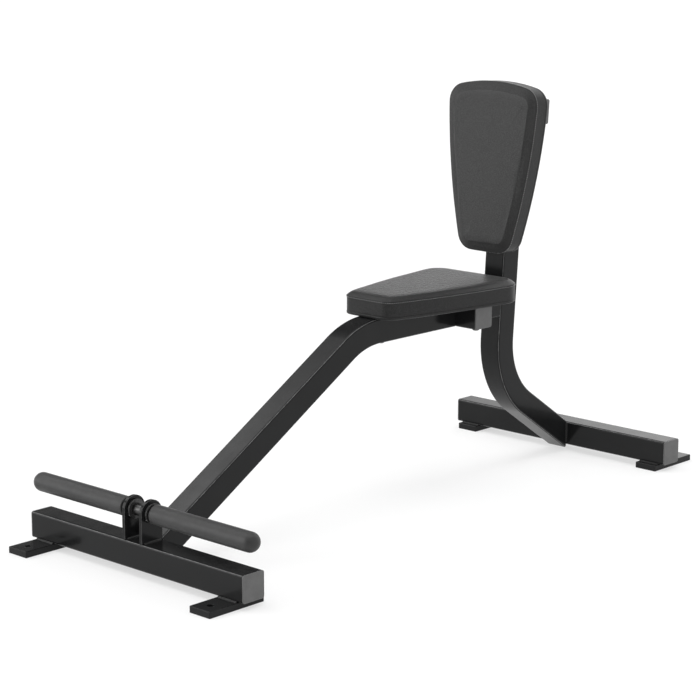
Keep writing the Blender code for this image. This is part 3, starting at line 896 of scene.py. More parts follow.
@dataclass
class BentTube:
    """A square tube with one bend, in the bench's middle plane."""

    start: TubeEnd
    end: TubeEnd
    radius: float
    bend_steps: int = 36

    def stations(self) -> list[tuple[Vector, Vector]]:
        """Find the tube's axis.

        Returns:
            The (y, z) points of the axis, each with the tube's direction there.
        """
        first = heading(self.start.angle)
        last = heading(self.end.angle)
        start = Vector(self.start.place)
        offset = Vector(self.end.place) - start
        meeting = start + first * offset.cross(last) / first.cross(last)
        turn = self.end.angle - self.start.angle
        reach = self.radius * math.tan(math.radians(abs(turn)) / 2)
        side = math.copysign(1.0, turn)
        centre = meeting - first * reach + side * self.radius * Vector((-first.y, first.x))
        rows = [(start, first)]
        for k in range(self.bend_steps + 1):
            along = heading(self.start.angle + turn * k / self.bend_steps)
            rows.append((centre + side * self.radius * Vector((along.y, -along.x)), along))
        rows.append((Vector(self.end.place), last))
        return rows

    def rings(self) -> list[Ring]:
        """Sweep the section along the axis, and trim both ends.

        Returns:
            The tube's rings.
        """
        outline = SQUARE_TUBE.outline()
        rings = []
        for centre, along in self.stations():
            rings.append([Vector((x, centre.x - along.y * u, centre.y + along.x * u)) for x, u in outline])
        return [self.start.trim(rings[0]), *rings[1:-1], self.end.trim(rings[-1])]


@dataclass
class WeldBead:
    """One run of weld in the corner between two surfaces, along both of which it spreads."""

    start: Point
    end: Point
    first: Point
    second: Point
    size: float
    pitch: float = 0.0024
    step: float = 0.0006
    root: float = 0.0004
    lowest: float = 0.90
    ripple: float = 0.12
    wander: float = 0.10
    wander_scale: float = 160.0
    blunt: float = 0.0003
    arc_steps: int = 6
    roundness: float = 0.65

    def add_to(self, bm: Mesh) -> None:
        """Add the bead, a row of overlapping ripples with rounded ends, to a mesh.

        Args:
            bm: The mesh that receives it.
        """
        start, end, first, second = (Vector(row) for row in (self.start, self.end, self.first, self.second))
        run = end - start
        count = max(8, round(run.length / self.step))
        rings = []
        for k in range(count + 1):
            share = k / count
            place = start + run * share
            ripple = abs(math.sin(math.pi * run.length * share / self.pitch)) * self.ripple
            wander = noise.noise(place * self.wander_scale) * self.wander
            ends = min(1.0, (min(share, 1 - share) * run.length + self.blunt) / (self.size / 2))
            size = self.size * (self.lowest + ripple + wander) * math.sqrt(ends * (2 - ends))
            ring = [place + (first + second) * -self.root]
            for chord in (j / self.arc_steps for j in range(self.arc_steps + 1)):
                angle = math.pi / 2 * chord
                across = self.roundness * math.cos(angle) + (1 - self.roundness) * (1 - chord)
                upward = self.roundness * math.sin(angle) + (1 - self.roundness) * chord
                ring.append(place + first * size * across + second * size * upward)
            rings.append(ring)
        bar_of(bm, rings)


@dataclass
class BackFrame:
    """The frame on the post's front face: Y up the post, Z forwards out of the face."""

    lean: float = 4.3
    face: tuple[float, float] = (0.4251, 0.4228)
    bracket_rise: float = 0.477
    bolt_rise: float = 0.199
    pad_rise: float = 0.132

    def matrix(self) -> Matrix:
        """Return the frame's placement on the bench."""
        return Matrix.Translation((0, *self.face)) @ Matrix.Rotation(math.radians(90 - self.lean), 4, "X")


@dataclass
class Frame:
    """The welded steel frame: its tubes, plates, caps and weld beads."""

    shop: Workshop
    back: BackFrame
    slope: float = 31.0
    slope_radius: float = 0.204
    leg: float = 34.1
    leg_radius: float = 0.195
    axis_drop: float = 0.0015
    post_over_bracket: float = 0.003
    cap_thickness: float = 0.003
    plate_weld: float = 0.0032
    lug_weld: float = 0.0034
    joint_weld: float = 0.0042
    top_weld: float = 0.0050
    bracket_weld: float = 0.0016
    weld_setback: float = 0.005
    plate_setback: float = 0.002
    joint_foot: float = 0.006
    joint_head: float = 0.002
    top_reach: float = 0.027
    level_reach: float = 0.026

    def build(self) -> None:
        """Dress the plates and caps, make the tubes, and weld all together."""
        self.dress_nodes()
        self.base_tube("front")
        self.base_tube("rear")
        self.main_tube()
        self.post()
        self.welds()

    def dress_nodes(self) -> None:
        """Give the carried-over plates, brackets and caps their finishes."""
        for end in ("front", "rear"):
            dress([f"{end}_foot_plate_{word}" for word, _ in SIDES], self.shop.paint)
            dress([f"{end}_base_cap_{word}" for word, _ in SIDES], self.shop.plastic)
        for pad in ("seat", "back"):
            dress([f"{pad}_bracket_{word}" for word, _ in SIDES], self.shop.paint)
            dress([f"{pad}_bracket_{word}_cap" for word, _ in SIDES], self.shop.plastic)
        dress(["post_top_cap"], self.shop.plastic)

    def base_tube(self, end: str) -> None:
        """Run a smooth straight tube across the bench in the place of a base tube.

        Args:
            end: The bench's end, front or rear.
        """
        low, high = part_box(f"{end}_base_tube")
        middle = (low + high) / 2
        outline = SQUARE_TUBE.outline()
        rings = [[Vector((x, middle.y - across, middle.z + up)) for across, up in outline]
                 for x in (low.x, low.x / 2, 0.0, high.x / 2, high.x)]
        SQUARE_TUBE.skin(f"{end}_base_tube", rings, self.shop)

    def main_tube(self) -> None:
        """Sweep the tube that slopes up from the front base and runs level to the post."""
        low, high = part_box("front_base_tube")
        middle = (low.z + high.z) / 2
        front = high.y + GAP
        face, level = self.back.face
        start = TubeEnd((front, middle - self.axis_drop), self.slope, (front, middle), 0.0)
        end = TubeEnd((face, level), 0.0, (face - GAP, level), -self.back.lean)
        SQUARE_TUBE.skin("main_tube", BentTube(start, end, self.slope_radius).rings(), self.shop)

    def post(self) -> None:
        """Sweep the post, from its leg on the rear base to under its cap."""
        low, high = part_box("rear_base_tube")
        middle = (low.z + high.z) / 2
        rear = low.y - GAP
        rise = self.back.bracket_rise + HALF_TUBE + self.post_over_bracket - self.cap_thickness - GAP
        lean = math.radians(self.back.lean)
        up = Vector((math.sin(lean), math.cos(lean)))
        behind = Vector((math.cos(lean), -math.sin(lean)))
        head = Vector(self.back.face) + behind * HALF_TUBE + up * rise
        start = TubeEnd((rear, middle - self.axis_drop), 180 - self.leg, (rear, middle), 0.0)
        end = TubeEnd(head, 90 - self.back.lean, head, 90 - self.back.lean)
        SQUARE_TUBE.skin("upright_post", BentTube(start, end, self.leg_radius).rings(), self.shop)

    def welds(self) -> None:
        """Run the weld beads of each joint as one piece."""
        joints = {
            "front_plate_welds": self.plate_beads("front"),
            "rear_plate_welds": self.plate_beads("rear"),
            "lug_welds": self.lug_beads(),
            "front_joint_welds": self.base_joint_beads("front_base_tube", 1, self.slope),
            "rear_joint_welds": self.base_joint_beads("rear_base_tube", -1, self.leg),
            "seat_bracket_welds": self.seat_bracket_beads(),
            "back_bracket_welds": self.back_bracket_beads(),
            "level_joint_welds": self.level_joint_beads(),
        }
        for name, beads in joints.items():
            bm = bmesh.new()
            for bead in beads:
                bead.add_to(bm)
            add_piece(name, bm, [self.shop.weld], Body.FRAME, crease=50.0)

    def plate_beads(self, end: str) -> list[WeldBead]:
        """Weld a base tube to its foot plates.

        Args:
            end: The bench's end, front or rear.

        Returns:
            A bead along both sides of the tube on each plate.
        """
        low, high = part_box(f"{end}_base_tube")
        beads = []
        for word, _ in SIDES:
            plate_low, plate_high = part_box(f"{end}_foot_plate_{word}")
            for y, out in ((low.y, -1), (high.y, 1)):
                left = (plate_low.x + self.plate_setback, y, plate_high.z)
                right = (plate_high.x - self.plate_setback, y, plate_high.z)
                beads.append(WeldBead(left, right, (0, out, 0), UP, self.plate_weld))
        return beads

    def lug_beads(self) -> list[WeldBead]:
        """Weld the lugs to the front base tube.

        Returns:
            A bead along both faces of each lug.
        """
        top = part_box("front_base_tube")[1].z
        beads = []
        for word, _ in SIDES:
            low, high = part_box(f"foot_bar_lug_{word}")
            front = low.y + self.weld_setback
            rear = high.y - self.weld_setback
            for x, out in ((low.x, -1), (high.x, 1)):
                beads.append(WeldBead((x, front, top), (x, rear, top), (out, 0, 0), UP, self.lug_weld))
        return beads

    def base_joint_beads(self, node: str, inward: int, angle: float) -> list[WeldBead]:
        """Weld a sloping tube's end to a base tube.

        Args:
            node: The base tube.
            inward: 1 where the sloping tube is on its +Y side, -1 on its -Y side.
            angle: The slope in degrees.

        Returns:
            One bead at each side and one over the top.
        """
        low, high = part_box(node)
        y = high.y if inward > 0 else low.y
        beads = []
        for _, side in SIDES:
            x = side * HALF_TUBE
            foot = (x, y, low.z + self.joint_foot)
            head = (x, y, high.z - self.joint_head)
            beads.append(WeldBead(foot, head, (side, 0, 0), (0, inward, 0), self.joint_weld))
        slope = math.radians(angle)
        up = (0, math.cos(slope) * inward, math.sin(slope))
        left, right = ((x, y, high.z) for x in (-self.top_reach, self.top_reach))
        beads.append(WeldBead(left, right, (0, -inward, 0), up, self.top_weld))
        return beads

    def seat_bracket_beads(self) -> list[WeldBead]:
        """Weld the seat brackets to the level tube.

        Returns:
            An upright bead behind each bracket.
        """
        beads = []
        for word, side in SIDES:
            low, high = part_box(f"seat_bracket_{word}")
            x = side * HALF_TUBE
            foot = (x, high.y, low.z + self.weld_setback)
            head = (x, high.y, high.z - self.weld_setback)
            beads.append(WeldBead(foot, head, (0, 1, 0), (side, 0, 0), self.bracket_weld))
        return beads

    def back_bracket_beads(self) -> list[WeldBead]:
        """Weld the back brackets to the post.

        Returns:
            A bead under each bracket, across the post's side.
        """
        matrix = self.back.matrix()
        down = matrix.to_3x3() @ Vector((0, -1, 0))
        rise = self.back.bracket_rise - HALF_TUBE
        beads = []
        for _, side in SIDES:
            rear, front = (matrix @ Vector((side * HALF_TUBE, rise, z))
                           for z in (self.weld_setback - TUBE, -self.weld_setback))
            beads.append(WeldBead(rear, front, down, (side, 0, 0), self.joint_weld))
        return beads

    def level_joint_beads(self) -> list[WeldBead]:
        """Weld the level tube's end to the post.

        Returns:
            A bead under the tube and one over it.
        """
        matrix = self.back.matrix()
        beads = []
        for out in (-1, 1):
            left, right = (matrix @ Vector((x, out * HALF_TUBE, 0))
                           for x in (-self.level_reach, self.level_reach))
            away = matrix.to_3x3() @ Vector((0, out, 0))
            beads.append(WeldBead(left, right, away, (0, -1, 0), self.joint_weld))
        return beads


@dataclass
class PadOutline:
    """A tapered pad seen from above, with bowed sides and ends. An end is its width, bow and radius."""

    length: float
    start: tuple[float, float, float]
    end: tuple[float, float, float]
    side_bow: float
    corner_steps: int = 10
    side_steps: int = 34

    def arcs(self) -> list[tuple[Vector, float, Vector, Vector]]:
        """Make up the outline from arcs.

        Returns:
            Each arc's centre, radius, first and last direction, anticlockwise, corners and sides in turn.
        """
        start_width, start_bow, start_radius = self.start
        end_width, end_bow, end_radius = self.end
        corners = [Vector((-start_width / 2, 0)), Vector((start_width / 2, 0)),
                   Vector((end_width / 2, self.length)), Vector((-end_width / 2, self.length))]
        bows = [start_bow, self.side_bow, end_bow, self.side_bow]
        radii = [start_radius, start_radius, end_radius, end_radius]
        sides = [self.bowed(*row) for row in zip(corners, corners[1:] + corners[:1], bows)]
        centres = []
        for k, (corner, radius) in enumerate(zip(corners, radii)):
            before, before_radius = sides[k - 1]
            after, after_radius = sides[k]
            meetings = intersect_sphere_sphere_2d(before, before_radius - radius,
                                                  after, after_radius - radius)
            centres.append(min(meetings, key=lambda point: (point - corner).length))
        arcs = []
        for k, centre in enumerate(centres):
            after, after_radius = sides[k]
            following = centres[(k + 1) % len(centres)]
            arcs.append((centre, radii[k], centre - sides[k - 1][0], centre - after))
            arcs.append((after, after_radius, centre - after, following - after))
        return arcs

    @staticmethod
    def bowed(start: Vector, end: Vector, bow: float) -> tuple[Vector, float]:
        """Bow the line between two corners out into an arc.

        Args:
            start: The first corner.
            end: The next corner, anticlockwise.
            bow: How far the arc's middle stands out from the line.

        Returns:
            The arc's centre and radius.
        """
        chord = end - start
        radius = (chord.length_squared / 4 + bow * bow) / (2 * bow)
        outward = Vector((chord.y, -chord.x)).normalized()
        return (start + end) / 2 - outward * (radius - bow), radius

    def points(self, inset: float) -> list[tuple[Vector, Vector]]:
        """Walk along the outline, moved inwards.

        Args:
            inset: How far it is moved inwards.

        Returns:
            The points, each with the direction that faces outwards.
        """
        rows = []
        for index, (centre, radius, first, last) in enumerate(self.arcs()):
            steps = self.side_steps if index % 2 else self.corner_steps
            start = math.atan2(first.y, first.x)
            turn = (math.atan2(last.y, last.x) - start) % math.tau / steps
            for k in range(steps):
                out = Vector((math.cos(start + turn * k), math.sin(start + turn * k)))
                rows.append((centre + out * (radius - inset), out))
        return rows

    def walk(self, inset: float, pitch: float) -> list[tuple[Vector, Vector]]:
        """Walk along the outline in even steps.

        Args:
            inset: How far it is moved inwards.
            pitch: The length of a step, which is rounded to fit.

        Returns:
            The points, each with the direction that faces outwards.
        """
        rows = self.points(inset)
        lengths = [0.0]
        for here, there in zip(rows, rows[1:] + rows[:1]):
            lengths.append(lengths[-1] + (there[0] - here[0]).length)
        count = round(lengths[-1] / pitch)
        spaced = []
        index = 0
        for k in range(count):
            target = lengths[-1] * k / count
            while lengths[index + 1] < target:
                index += 1
            share = (target - lengths[index]) / (lengths[index + 1] - lengths[index])
            here, there = rows[index], rows[(index + 1) % len(rows)]
            spaced.append((here[0].lerp(there[0], share), here[1].lerp(there[1], share).normalized()))
        return spaced


@dataclass
class Section:
    """A pad's section: heights over its underside, insets from its outline, and the roundings between."""

    thickness: float
    panel: float
    shoulder: float
    lip: float
    inner: float
    pocket: float = 0.0137
    edge: float = 0.0028
    seam: float = 0.0425
    seam_round: float = 0.0006
    groove: float = 0.0012
    groove_rise: float = 0.0002
    groove_round: float = 0.0003
    lip_rise: float = 0.0008
    lip_round: float = 0.0007
    bulge: float = 0.0008
    panel_round: float = 0.014
    crown_round: float = 0.05
    longest_round: float = 0.49
    low_line: float = 0.0078
    seam_middle: float = 0.0004
    seam_spread: float = 3.2
    low_spread: float = 2.2
    border_spread: float = 2.0
    arc_steps: int = 8
    step: float = 0.0002
    fine: float = 0.00042
    coarse: float = 0.0045

    def corners(self) -> list[tuple[Vector, float]]:
        """Lay out the section from the pocket's rim, round the underside and up to the crown.

        Returns:
            The (inset, height) corners, each with its rounding.
        """
        lip = Vector((-self.lip, self.seam + self.lip_rise))
        panel = Vector((self.shoulder, self.panel))
        chord = panel - lip
        middle = (lip + panel) / 2 + Vector((-chord.y, chord.x)).normalized() * self.bulge
        return [(Vector((self.pocket, 0)), 0.0), (Vector((0, 0)), self.edge),
                (Vector((0, self.seam - self.seam_round)), self.seam_round),
                (Vector((self.groove, self.seam + self.groove_rise)), self.groove_round),
                (lip, self.lip_round), (middle, self.crown_round), (panel, self.panel_round),
                (Vector((self.inner, self.thickness)), self.crown_round)]

    def path(self) -> list[Vector]:
        """Round the section's corners.

        Returns:
            Closely spaced (inset, height) points along the section.
        """
        corners = self.corners()
        knots = [corners[0][0]]
        for (before, _), (here, radius), (after, _) in zip(corners, corners[1:], corners[2:]):
            towards = (here - before).normalized()
            onwards = (after - here).normalized()
            longest = self.longest_round * min((here - before).length, (after - here).length)
            reach = min(radius * math.tan(towards.angle(onwards) / 2), longest)
            start = here - towards * reach
            end = here + onwards * reach
            for share in (k / self.arc_steps for k in range(self.arc_steps + 1)):
                knots.append(start.lerp(here, share).lerp(here.lerp(end, share), share))
        knots.append(corners[-1][0])
        points = []
        for here, there in zip(knots, knots[1:]):
            count = max(1, round((there - here).length / self.step))
            points += [here.lerp(there, k / count) for k in range(count)]
        return points + [knots[-1]]

    def rows(self) -> list[tuple[float, float]]:
        """Choose the rows of the skin, close together at the seams and at the panel's border.

        Returns:
            The (height, inset) of each row.
        """
        path = self.path()
        border = Vector((self.shoulder, self.panel))
        kept = [path[0]]
        for point in path[1:]:
            near = min(abs(point.y - self.seam - self.seam_middle) / self.seam_spread,
                       abs(point.y - self.low_line) / self.low_spread,
                       (point - border).length / self.border_spread)
            spacing = min(self.coarse, max(self.fine, near))
            if (point - kept[-1]).length >= spacing:
                kept.append(point)
        kept[-1] = path[-1]
        return [(point.y, point.x) for point in kept]


@dataclass
class SkinRing:
    """One ring of a pad's skin: its row of the section, and its points with their outward directions."""

    height: float
    inset: float
    points: list[Vector]
    outs: list[Vector]


@dataclass
class Foam:
    """The cloth that a copy of a pad is blown up as, and how far the skin follows it."""

    inset: float = 0.0012
    cell: float = 0.005
    pressure: float = 4.0
    mass: float = 0.35
    stretch: float = 30.0
    shear: float = 15.0
    bend: float = 4.0
    quality: int = 6
    frames: int = 20
    swell: float = 0.0012
    sink: float = 0.0004
    smoothing: int = 12
    seam_hold: float = 0.006
    edge_hold: float = 0.012
    lift: float = 1.6
    probe: float = 0.008

    def blown_up(self, core: bpy.types.Object) -> BVHTree:
        """Give a core even cells, blow it up as cloth, and remove it.

        Args:
            core: The pad's closed form, a little smaller than the pad.

        Returns:
            The skin that it settles to.
        """
        plain = core.data
        remesh = core.modifiers.new("even cells", "REMESH")
        remesh.mode = "VOXEL"
        remesh.voxel_size = self.cell
        even = evaluated_mesh(core)
        core.modifiers.clear()
        core.data = even
        cloth = core.modifiers.new("foam", "CLOTH")
        settings = cloth.settings
        settings.quality = self.quality
        settings.mass = self.mass
        settings.tension_stiffness = self.stretch
        settings.compression_stiffness = self.stretch
        settings.shear_stiffness = self.shear
        settings.bending_stiffness = self.bend
        settings.use_pressure = True
        settings.uniform_pressure_force = self.pressure
        settings.effector_weights.gravity = 0
        cloth.point_cache.frame_start = 1
        cloth.point_cache.frame_end = self.frames
        for number in range(1, self.frames + 1):
            bpy.context.scene.frame_set(number)
        settled = evaluated_mesh(core)
        skin = tree_of(settled)
        bpy.data.objects.remove(core, do_unlink=True)
        for mesh in (plain, settled, even):
            bpy.data.meshes.remove(mesh)
        bpy.context.scene.frame_set(1)
        return skin

    def move(self, skin: BVHTree, point: Vector, outward: Vector) -> float:
        """Find how far a point of the pad moves to follow the blown-up skin.

        Args:
            skin: The blown-up skin.
            point: The point.
            outward: The direction that it moves in.

        Returns:
            The move, within the cap.
        """
        hit = skin.ray_cast(point - outward * self.probe, outward, self.probe * 2)[0]
        return 0.0 if hit is None else max(-self.sink, min(self.swell, (hit - point).dot(outward)))


@dataclass
class Stitch:
    """The thread of a seam: short stitches that dip into the cover at both ends.

    The form is the share along a stitch, the thickness and the lift in radii of each of its rings.
    """

    drop: float = 0.0013
    pitch: float = 0.0052
    length: float = 0.0022
    radius: float = 0.00080
    sides: int = 6
    form: tuple[Point, ...] = ((0.0, 0.45, -0.5), (0.18, 0.85, 0.15), (0.5, 1.0, 0.4), (0.82, 0.85, 0.15),
                               (1.0, 0.45, -0.5))

    def add_to(self, bm: Mesh, first: Vector, last: Vector, outward: Vector) -> None:
        """Add one stitch to a mesh.

        Args:
            bm: The mesh that receives it.
            first: Where it comes out of the cover.
            last: Where it goes in again.
            outward: The direction out of the cover.
        """
        along = (last - first).normalized()
        upward = along.cross(outward).normalized()
        turns = [math.tau * k / self.sides for k in range(self.sides)]
        rings = []
        for share, swell, lift in self.form:
            centre = first.lerp(last, share) + outward * self.radius * lift
            rings.append([centre + (outward * math.cos(a) + upward * math.sin(a)) * self.radius * swell
                          for a in turns])
        bar_of(bm, rings)


@dataclass
class Staple:
    """A wire staple that holds the cover's edge to the board. Its sunk part and legs are in radii."""

    rim_share: float = 0.72
    pitch: float = 0.024
    width: float = 0.010
    wire: float = 0.0005
    sunk: float = 0.2
    leg: float = 2.4

    def add_to(self, bm: Mesh, point: Vector, out: Vector) -> None:
        """Add one staple along the cover's edge to a mesh, with its legs in the board.

        Args:
            bm: The mesh that receives it.
            point: Its middle.
            out: The pad's outward direction there.
        """
        along = Vector((-out.y, out.x, 0))
        wire = self.wire
        section = [UP * -wire, out * wire, UP * wire, out * -wire]
        centre = point - UP * wire * self.sunk
        half = self.width / 2
        leg = wire * self.leg
        path = ((-half, leg, 1, 0), (-half, 0.0, 1, 1), (half, 0.0, -1, 1), (half, leg, -1, 0))
        rings = []
        for x, z, side, level in path:
            ring = []
            for offset in section:
                lift = Vector((offset.x, offset.y, offset.z * level + z))
                ring.append(centre + along * (x + offset.z * side) + lift)
            rings.append(ring)
        bar_of(bm, rings)


@dataclass
class Pad:
    """An upholstered pad on its board: cover, seam, stitching and staples."""

    shop: Workshop
    name: str
    outline: PadOutline
    section: Section
    place: Matrix
    border: Material
    panel: Material
    foam: Foam = field(default_factory=Foam)
    stitch: Stitch = field(default_factory=Stitch)
    staple: Staple = field(default_factory=Staple)
    clear_of_tube: float = 0.036
    dome: float = 0.0008
    dome_shares: tuple[float, ...] = (0.93, 0.85, 0.75, 0.64, 0.52, 0.40, 0.28, 0.16)
    pocket_depth: float = 0.0093
    low_groove: float = 0.0008
    groove_width: float = 0.0006
    low_swell: float = 0.0004
    swell_drop: float = 0.0026
    swell_width: float = 0.0016
    wave: float = 0.00022
    wave_scale: float = 38.0
    calm_height: float = 0.02
    pleat: float = 0.0004
    pleat_height: float = 0.0035
    pleat_turn: float = 2.1
    probe: float = 0.01
    fill: float = 0.9

    def build(self) -> None:
        """Make the cover with its seam, the thread and the staples, and dress the board."""
        dress([self.name + "_board"], self.shop.board)
        rings = self.form()
        self.fill_out(rings)
        self.relieve(rings)
        self.stitching(tree_of(self.cover(rings).data))
        self.staples()

    def form(self) -> list[SkinRing]:
        """Shape the pad's skin.

        Returns:
            The rings of the skin, from the pocket's rim to the middle of the crown.
        """
        rings = []
        for height, inset in self.section.rows():
            rows = self.outline.points(inset)
            rings.append(SkinRing(height, inset, [Vector((*point, height)) for point, _ in rows],
                                  [Vector((*out, 0)) for _, out in rows]))
        last = rings[-1]
        centre = sum(last.points, Vector()) / len(last.points)
        for share in self.dome_shares:
            lift = UP * (self.dome * (1 - share * share))
            points = [centre.lerp(point, share) + lift for point in last.points]
            rings.append(SkinRing(last.height, last.inset, points, last.outs))
        return [*rings, SkinRing(last.height, last.inset, [centre + UP * self.dome], [UP])]

    def fill_out(self, rings: list[SkinRing]) -> None:
        """Move the skin to where a blown-up copy of the pad settles, within a small cap.

        Args:
            rings: The rings, whose points are moved.
        """
        foam = self.foam
        section = self.section
        skin = foam.blown_up(self.core())
        ways = []
        moves = []
        for ring in rings:
            over_seam = ring.height - section.seam
            share = min(1.0, max(0.0, over_seam / (section.thickness - section.seam)))
            over_edge = max(0.0, ring.height - section.edge)
            hold = min(1.0, abs(over_seam) / foam.seam_hold, over_edge / foam.edge_hold)
            way = [(out * (1 - share) + UP * share * foam.lift).normalized() for out in ring.outs]
            ways.append(way)
            moves.append([foam.move(skin, *pair) * hold for pair in zip(ring.points, way)])
        for _ in range(foam.smoothing):
            moves = [self.evened(moves, number) for number in range(len(moves))]
        for ring, way, row in zip(rings, ways, moves):
            ring.points = [point + outward * move for point, outward, move in zip(ring.points, way, row)]

    @staticmethod
    def evened(moves: list[list[float]], number: int) -> list[float]:
        """Average one row of moves with its neighbours, round the ring and across the rings.

        Args:
            moves: The moves of every ring.
            number: The ring's number.

        Returns:
            The ring's new moves.
        """
        row = moves[number]
        count = len(row)
        below = moves[max(0, number - 1)]
        above = moves[min(len(moves) - 1, number + 1)]
        if len(above) != count:
            above = row
        if len(below) != count:
            return row
        return [(row[k] * 2 + row[k - 1] + row[(k + 1) % count] + below[k] + above[k]) / 6
                for k in range(count)]

    def core(self) -> bpy.types.Object:
        """Make a closed copy of the pad, a little smaller, to be blown up.

        Returns:
            The copy, in the pad's own coordinates.
        """
        inset = self.foam.inset
        rings = []
        for height, row_inset in self.section.rows():
            lower = height * (1 - inset / self.section.thickness)
            rows = self.outline.points(max(row_inset, 0.0) + inset)
            rings.append([Vector((*point, lower)) for point, _ in rows])
        bm = bmesh.new()
        bar_of(bm, rings)
        bmesh.ops.recalc_face_normals(bm, faces=bm.faces[:])
        return link_mesh("pad_core", bm)

    def relieve(self, rings: list[SkinRing]) -> None:
        """Press the low seam into the skin, and gather the cover a little at the corners.

        Args:
            rings: The rings, whose points are moved.
        """
        for ring in rings:
            height = ring.height
            over_line = height - self.section.low_line
            inward = self.low_groove * math.exp(-(over_line / self.groove_width) ** 2)
            inward -= self.low_swell * math.exp(-((over_line + self.swell_drop) / self.swell_width) ** 2)
            low = math.exp(-(height / self.pleat_height) ** 2)
            calm = min(1.0, height / self.calm_height)
            for k, (point, out) in enumerate(zip(ring.points, ring.outs)):
                waves = noise.noise(point * self.wave_scale) * self.wave * calm
                pleat = low * self.pleat * max(0.0, math.sin(k * self.pleat_turn) * self.cornered(out))
                ring.points[k] = point - out * (inward + waves) + UP * pleat

    @staticmethod
    def cornered(out: Vector) -> float:
        """Return how far a direction lies between the pad's sides and its ends, 0 to 1."""
        return min(1.0, 2.0 * abs(out.x * out.y))

    def cover(self, rings: list[SkinRing]) -> bpy.types.Object:
        """Make the cover from its rings, with the pocket that holds the board.

        Args:
            rings: The rings of the skin.

        Returns:
            The cover.
        """
        section = self.section
        bed = [Vector((*point, self.pocket_depth)) for point, _ in self.outline.points(section.pocket)]
        middle = sum(bed, Vector()) / len(bed)
        bm = bmesh.new()
        loft(bm, [[middle], bed, *[ring.points for ring in rings]])
        # The panel's faces take the lighter vinyl, painted light; the border's take the darker one, painted
        # shade.
        panel = [ring.height > section.seam and ring.inset > section.shoulder for ring in rings]
        bm.faces.ensure_lookup_table()
        for face in bm.faces[(2 + panel.index(True)) * len(bed):]:
            face.material_index = 1
        piece = add_piece(self.name + "_cover", bm, (self.border, self.panel), Body.FRAME,
                          self.place, self.name + "_cushion", 60.0)
        return piece

    def outward(self, out: Vector) -> Vector:
        """Return an outward direction of the outline in the bench's coordinates."""
        return (self.place.to_3x3() @ Vector((*out, 0))).normalized()

    def on_skin(self, skin: BVHTree, point: Vector, out: Vector) -> Vector:
        """Find the place of the stitches on the cover's side.

        Args:
            skin: The cover's faces.
            point: A point of the outline.
            out: The outward direction there.

        Returns:
            The place on the cover.
        """
        outward = self.outward(out)
        start = self.place @ Vector((*point, self.section.seam - self.stitch.drop))
        hit = skin.ray_cast(start + outward * self.probe, -outward, self.probe * 3)[0]
        return start if hit is None else hit

    def stitching(self, skin: BVHTree) -> None:
        """Run a row of stitches just under the seam.

        Args:
            skin: The cover's faces.
        """
        rows = self.outline.walk(0.0, self.stitch.pitch)
        share = self.stitch.length / self.stitch.pitch
        bm = bmesh.new()
        for here, there in zip(rows, rows[1:] + rows[:1]):
            first = self.on_skin(skin, *here)
            last = self.on_skin(skin, *(start.lerp(end, share) for start, end in zip(here, there)))
            self.stitch.add_to(bm, first, last, self.outward(here[1]))
        add_piece(self.name + "_stitching", bm, [self.shop.thread], Body.FRAME, crease=80.0)

    def staples(self) -> None:
        """Staple the cover's edge on the underside, clear of the tube that the pad rests on."""
        bm = bmesh.new()
        for point, out in self.outline.walk(self.section.pocket * self.staple.rim_share, self.staple.pitch):
            if abs(point.x) >= self.clear_of_tube:
                self.staple.add_to(bm, Vector((*point, 0)), Vector((*out, 0)))
        add_piece(self.name + "_staples", bm, [self.shop.zinc], Body.FRAME, self.place)


@dataclass
class ButtonBolt:
    """A button head bolt with a washer and a hexagon socket."""

    shank: float = 0.0686
    shank_radius: float = 0.005
    washer_radius: float = 0.012
    washer: float = 0.002
    head: float = 0.0055
    head_radius: float = 0.009
    flat_radius: float = 0.0052
    socket: float = 0.006
    socket_bevel: float = 0.0006
    socket_depth: float = 0.0034
    socket_cone: float = 0.0008
    chamfer: float = 0.001
    edge: float = 0.0004
    arc_steps: int = 8
    steps: int = 48

    def rings(self) -> list[Ring]:
        """Turn the bolt about Z, with its head at -Z.

        Returns:
            The rings from the shank's end to the bottom of the socket.
        """
        edge = self.edge
        under = -self.washer - self.head
        rows = [(0, self.shank), (self.shank_radius - self.chamfer, self.shank),
                (self.shank_radius, self.shank - self.chamfer), (self.shank_radius, 0),
                (self.washer_radius - edge, 0), (self.washer_radius, -edge),
                (self.washer_radius, edge - self.washer), (self.washer_radius - edge, -self.washer),
                (self.head_radius, -self.washer)]
        swell = self.head_radius - self.flat_radius
        for angle in (math.pi / 2 * k / self.arc_steps for k in range(self.arc_steps + 1)):
            radius = self.flat_radius + swell * math.cos(angle)
            rows.append((radius, -self.washer - self.head * math.sin(angle)))
        bottom = under + self.socket_depth
        hollow = [(self.socket + self.socket_bevel, under), (self.socket, under + edge),
                  (self.socket, bottom)]
        return [*[circle(radius, z, self.steps) for radius, z in rows],
                *[hexagon(flats, z, self.steps) for flats, z in hollow],
                circle(0, bottom + self.socket_cone, self.steps)]

    def build(self, node: str, place: Matrix, shop: Workshop) -> None:
        """Make the bolt and let it replace its node.

        Args:
            node: The CAD node.
            place: Its placement.
            shop: The finishes.
        """
        bm = bmesh.new()
        loft(bm, self.rings())
        add_piece(node + "_with_socket", bm, [shop.oxide], Body.FRAME, place, node, 32.0)


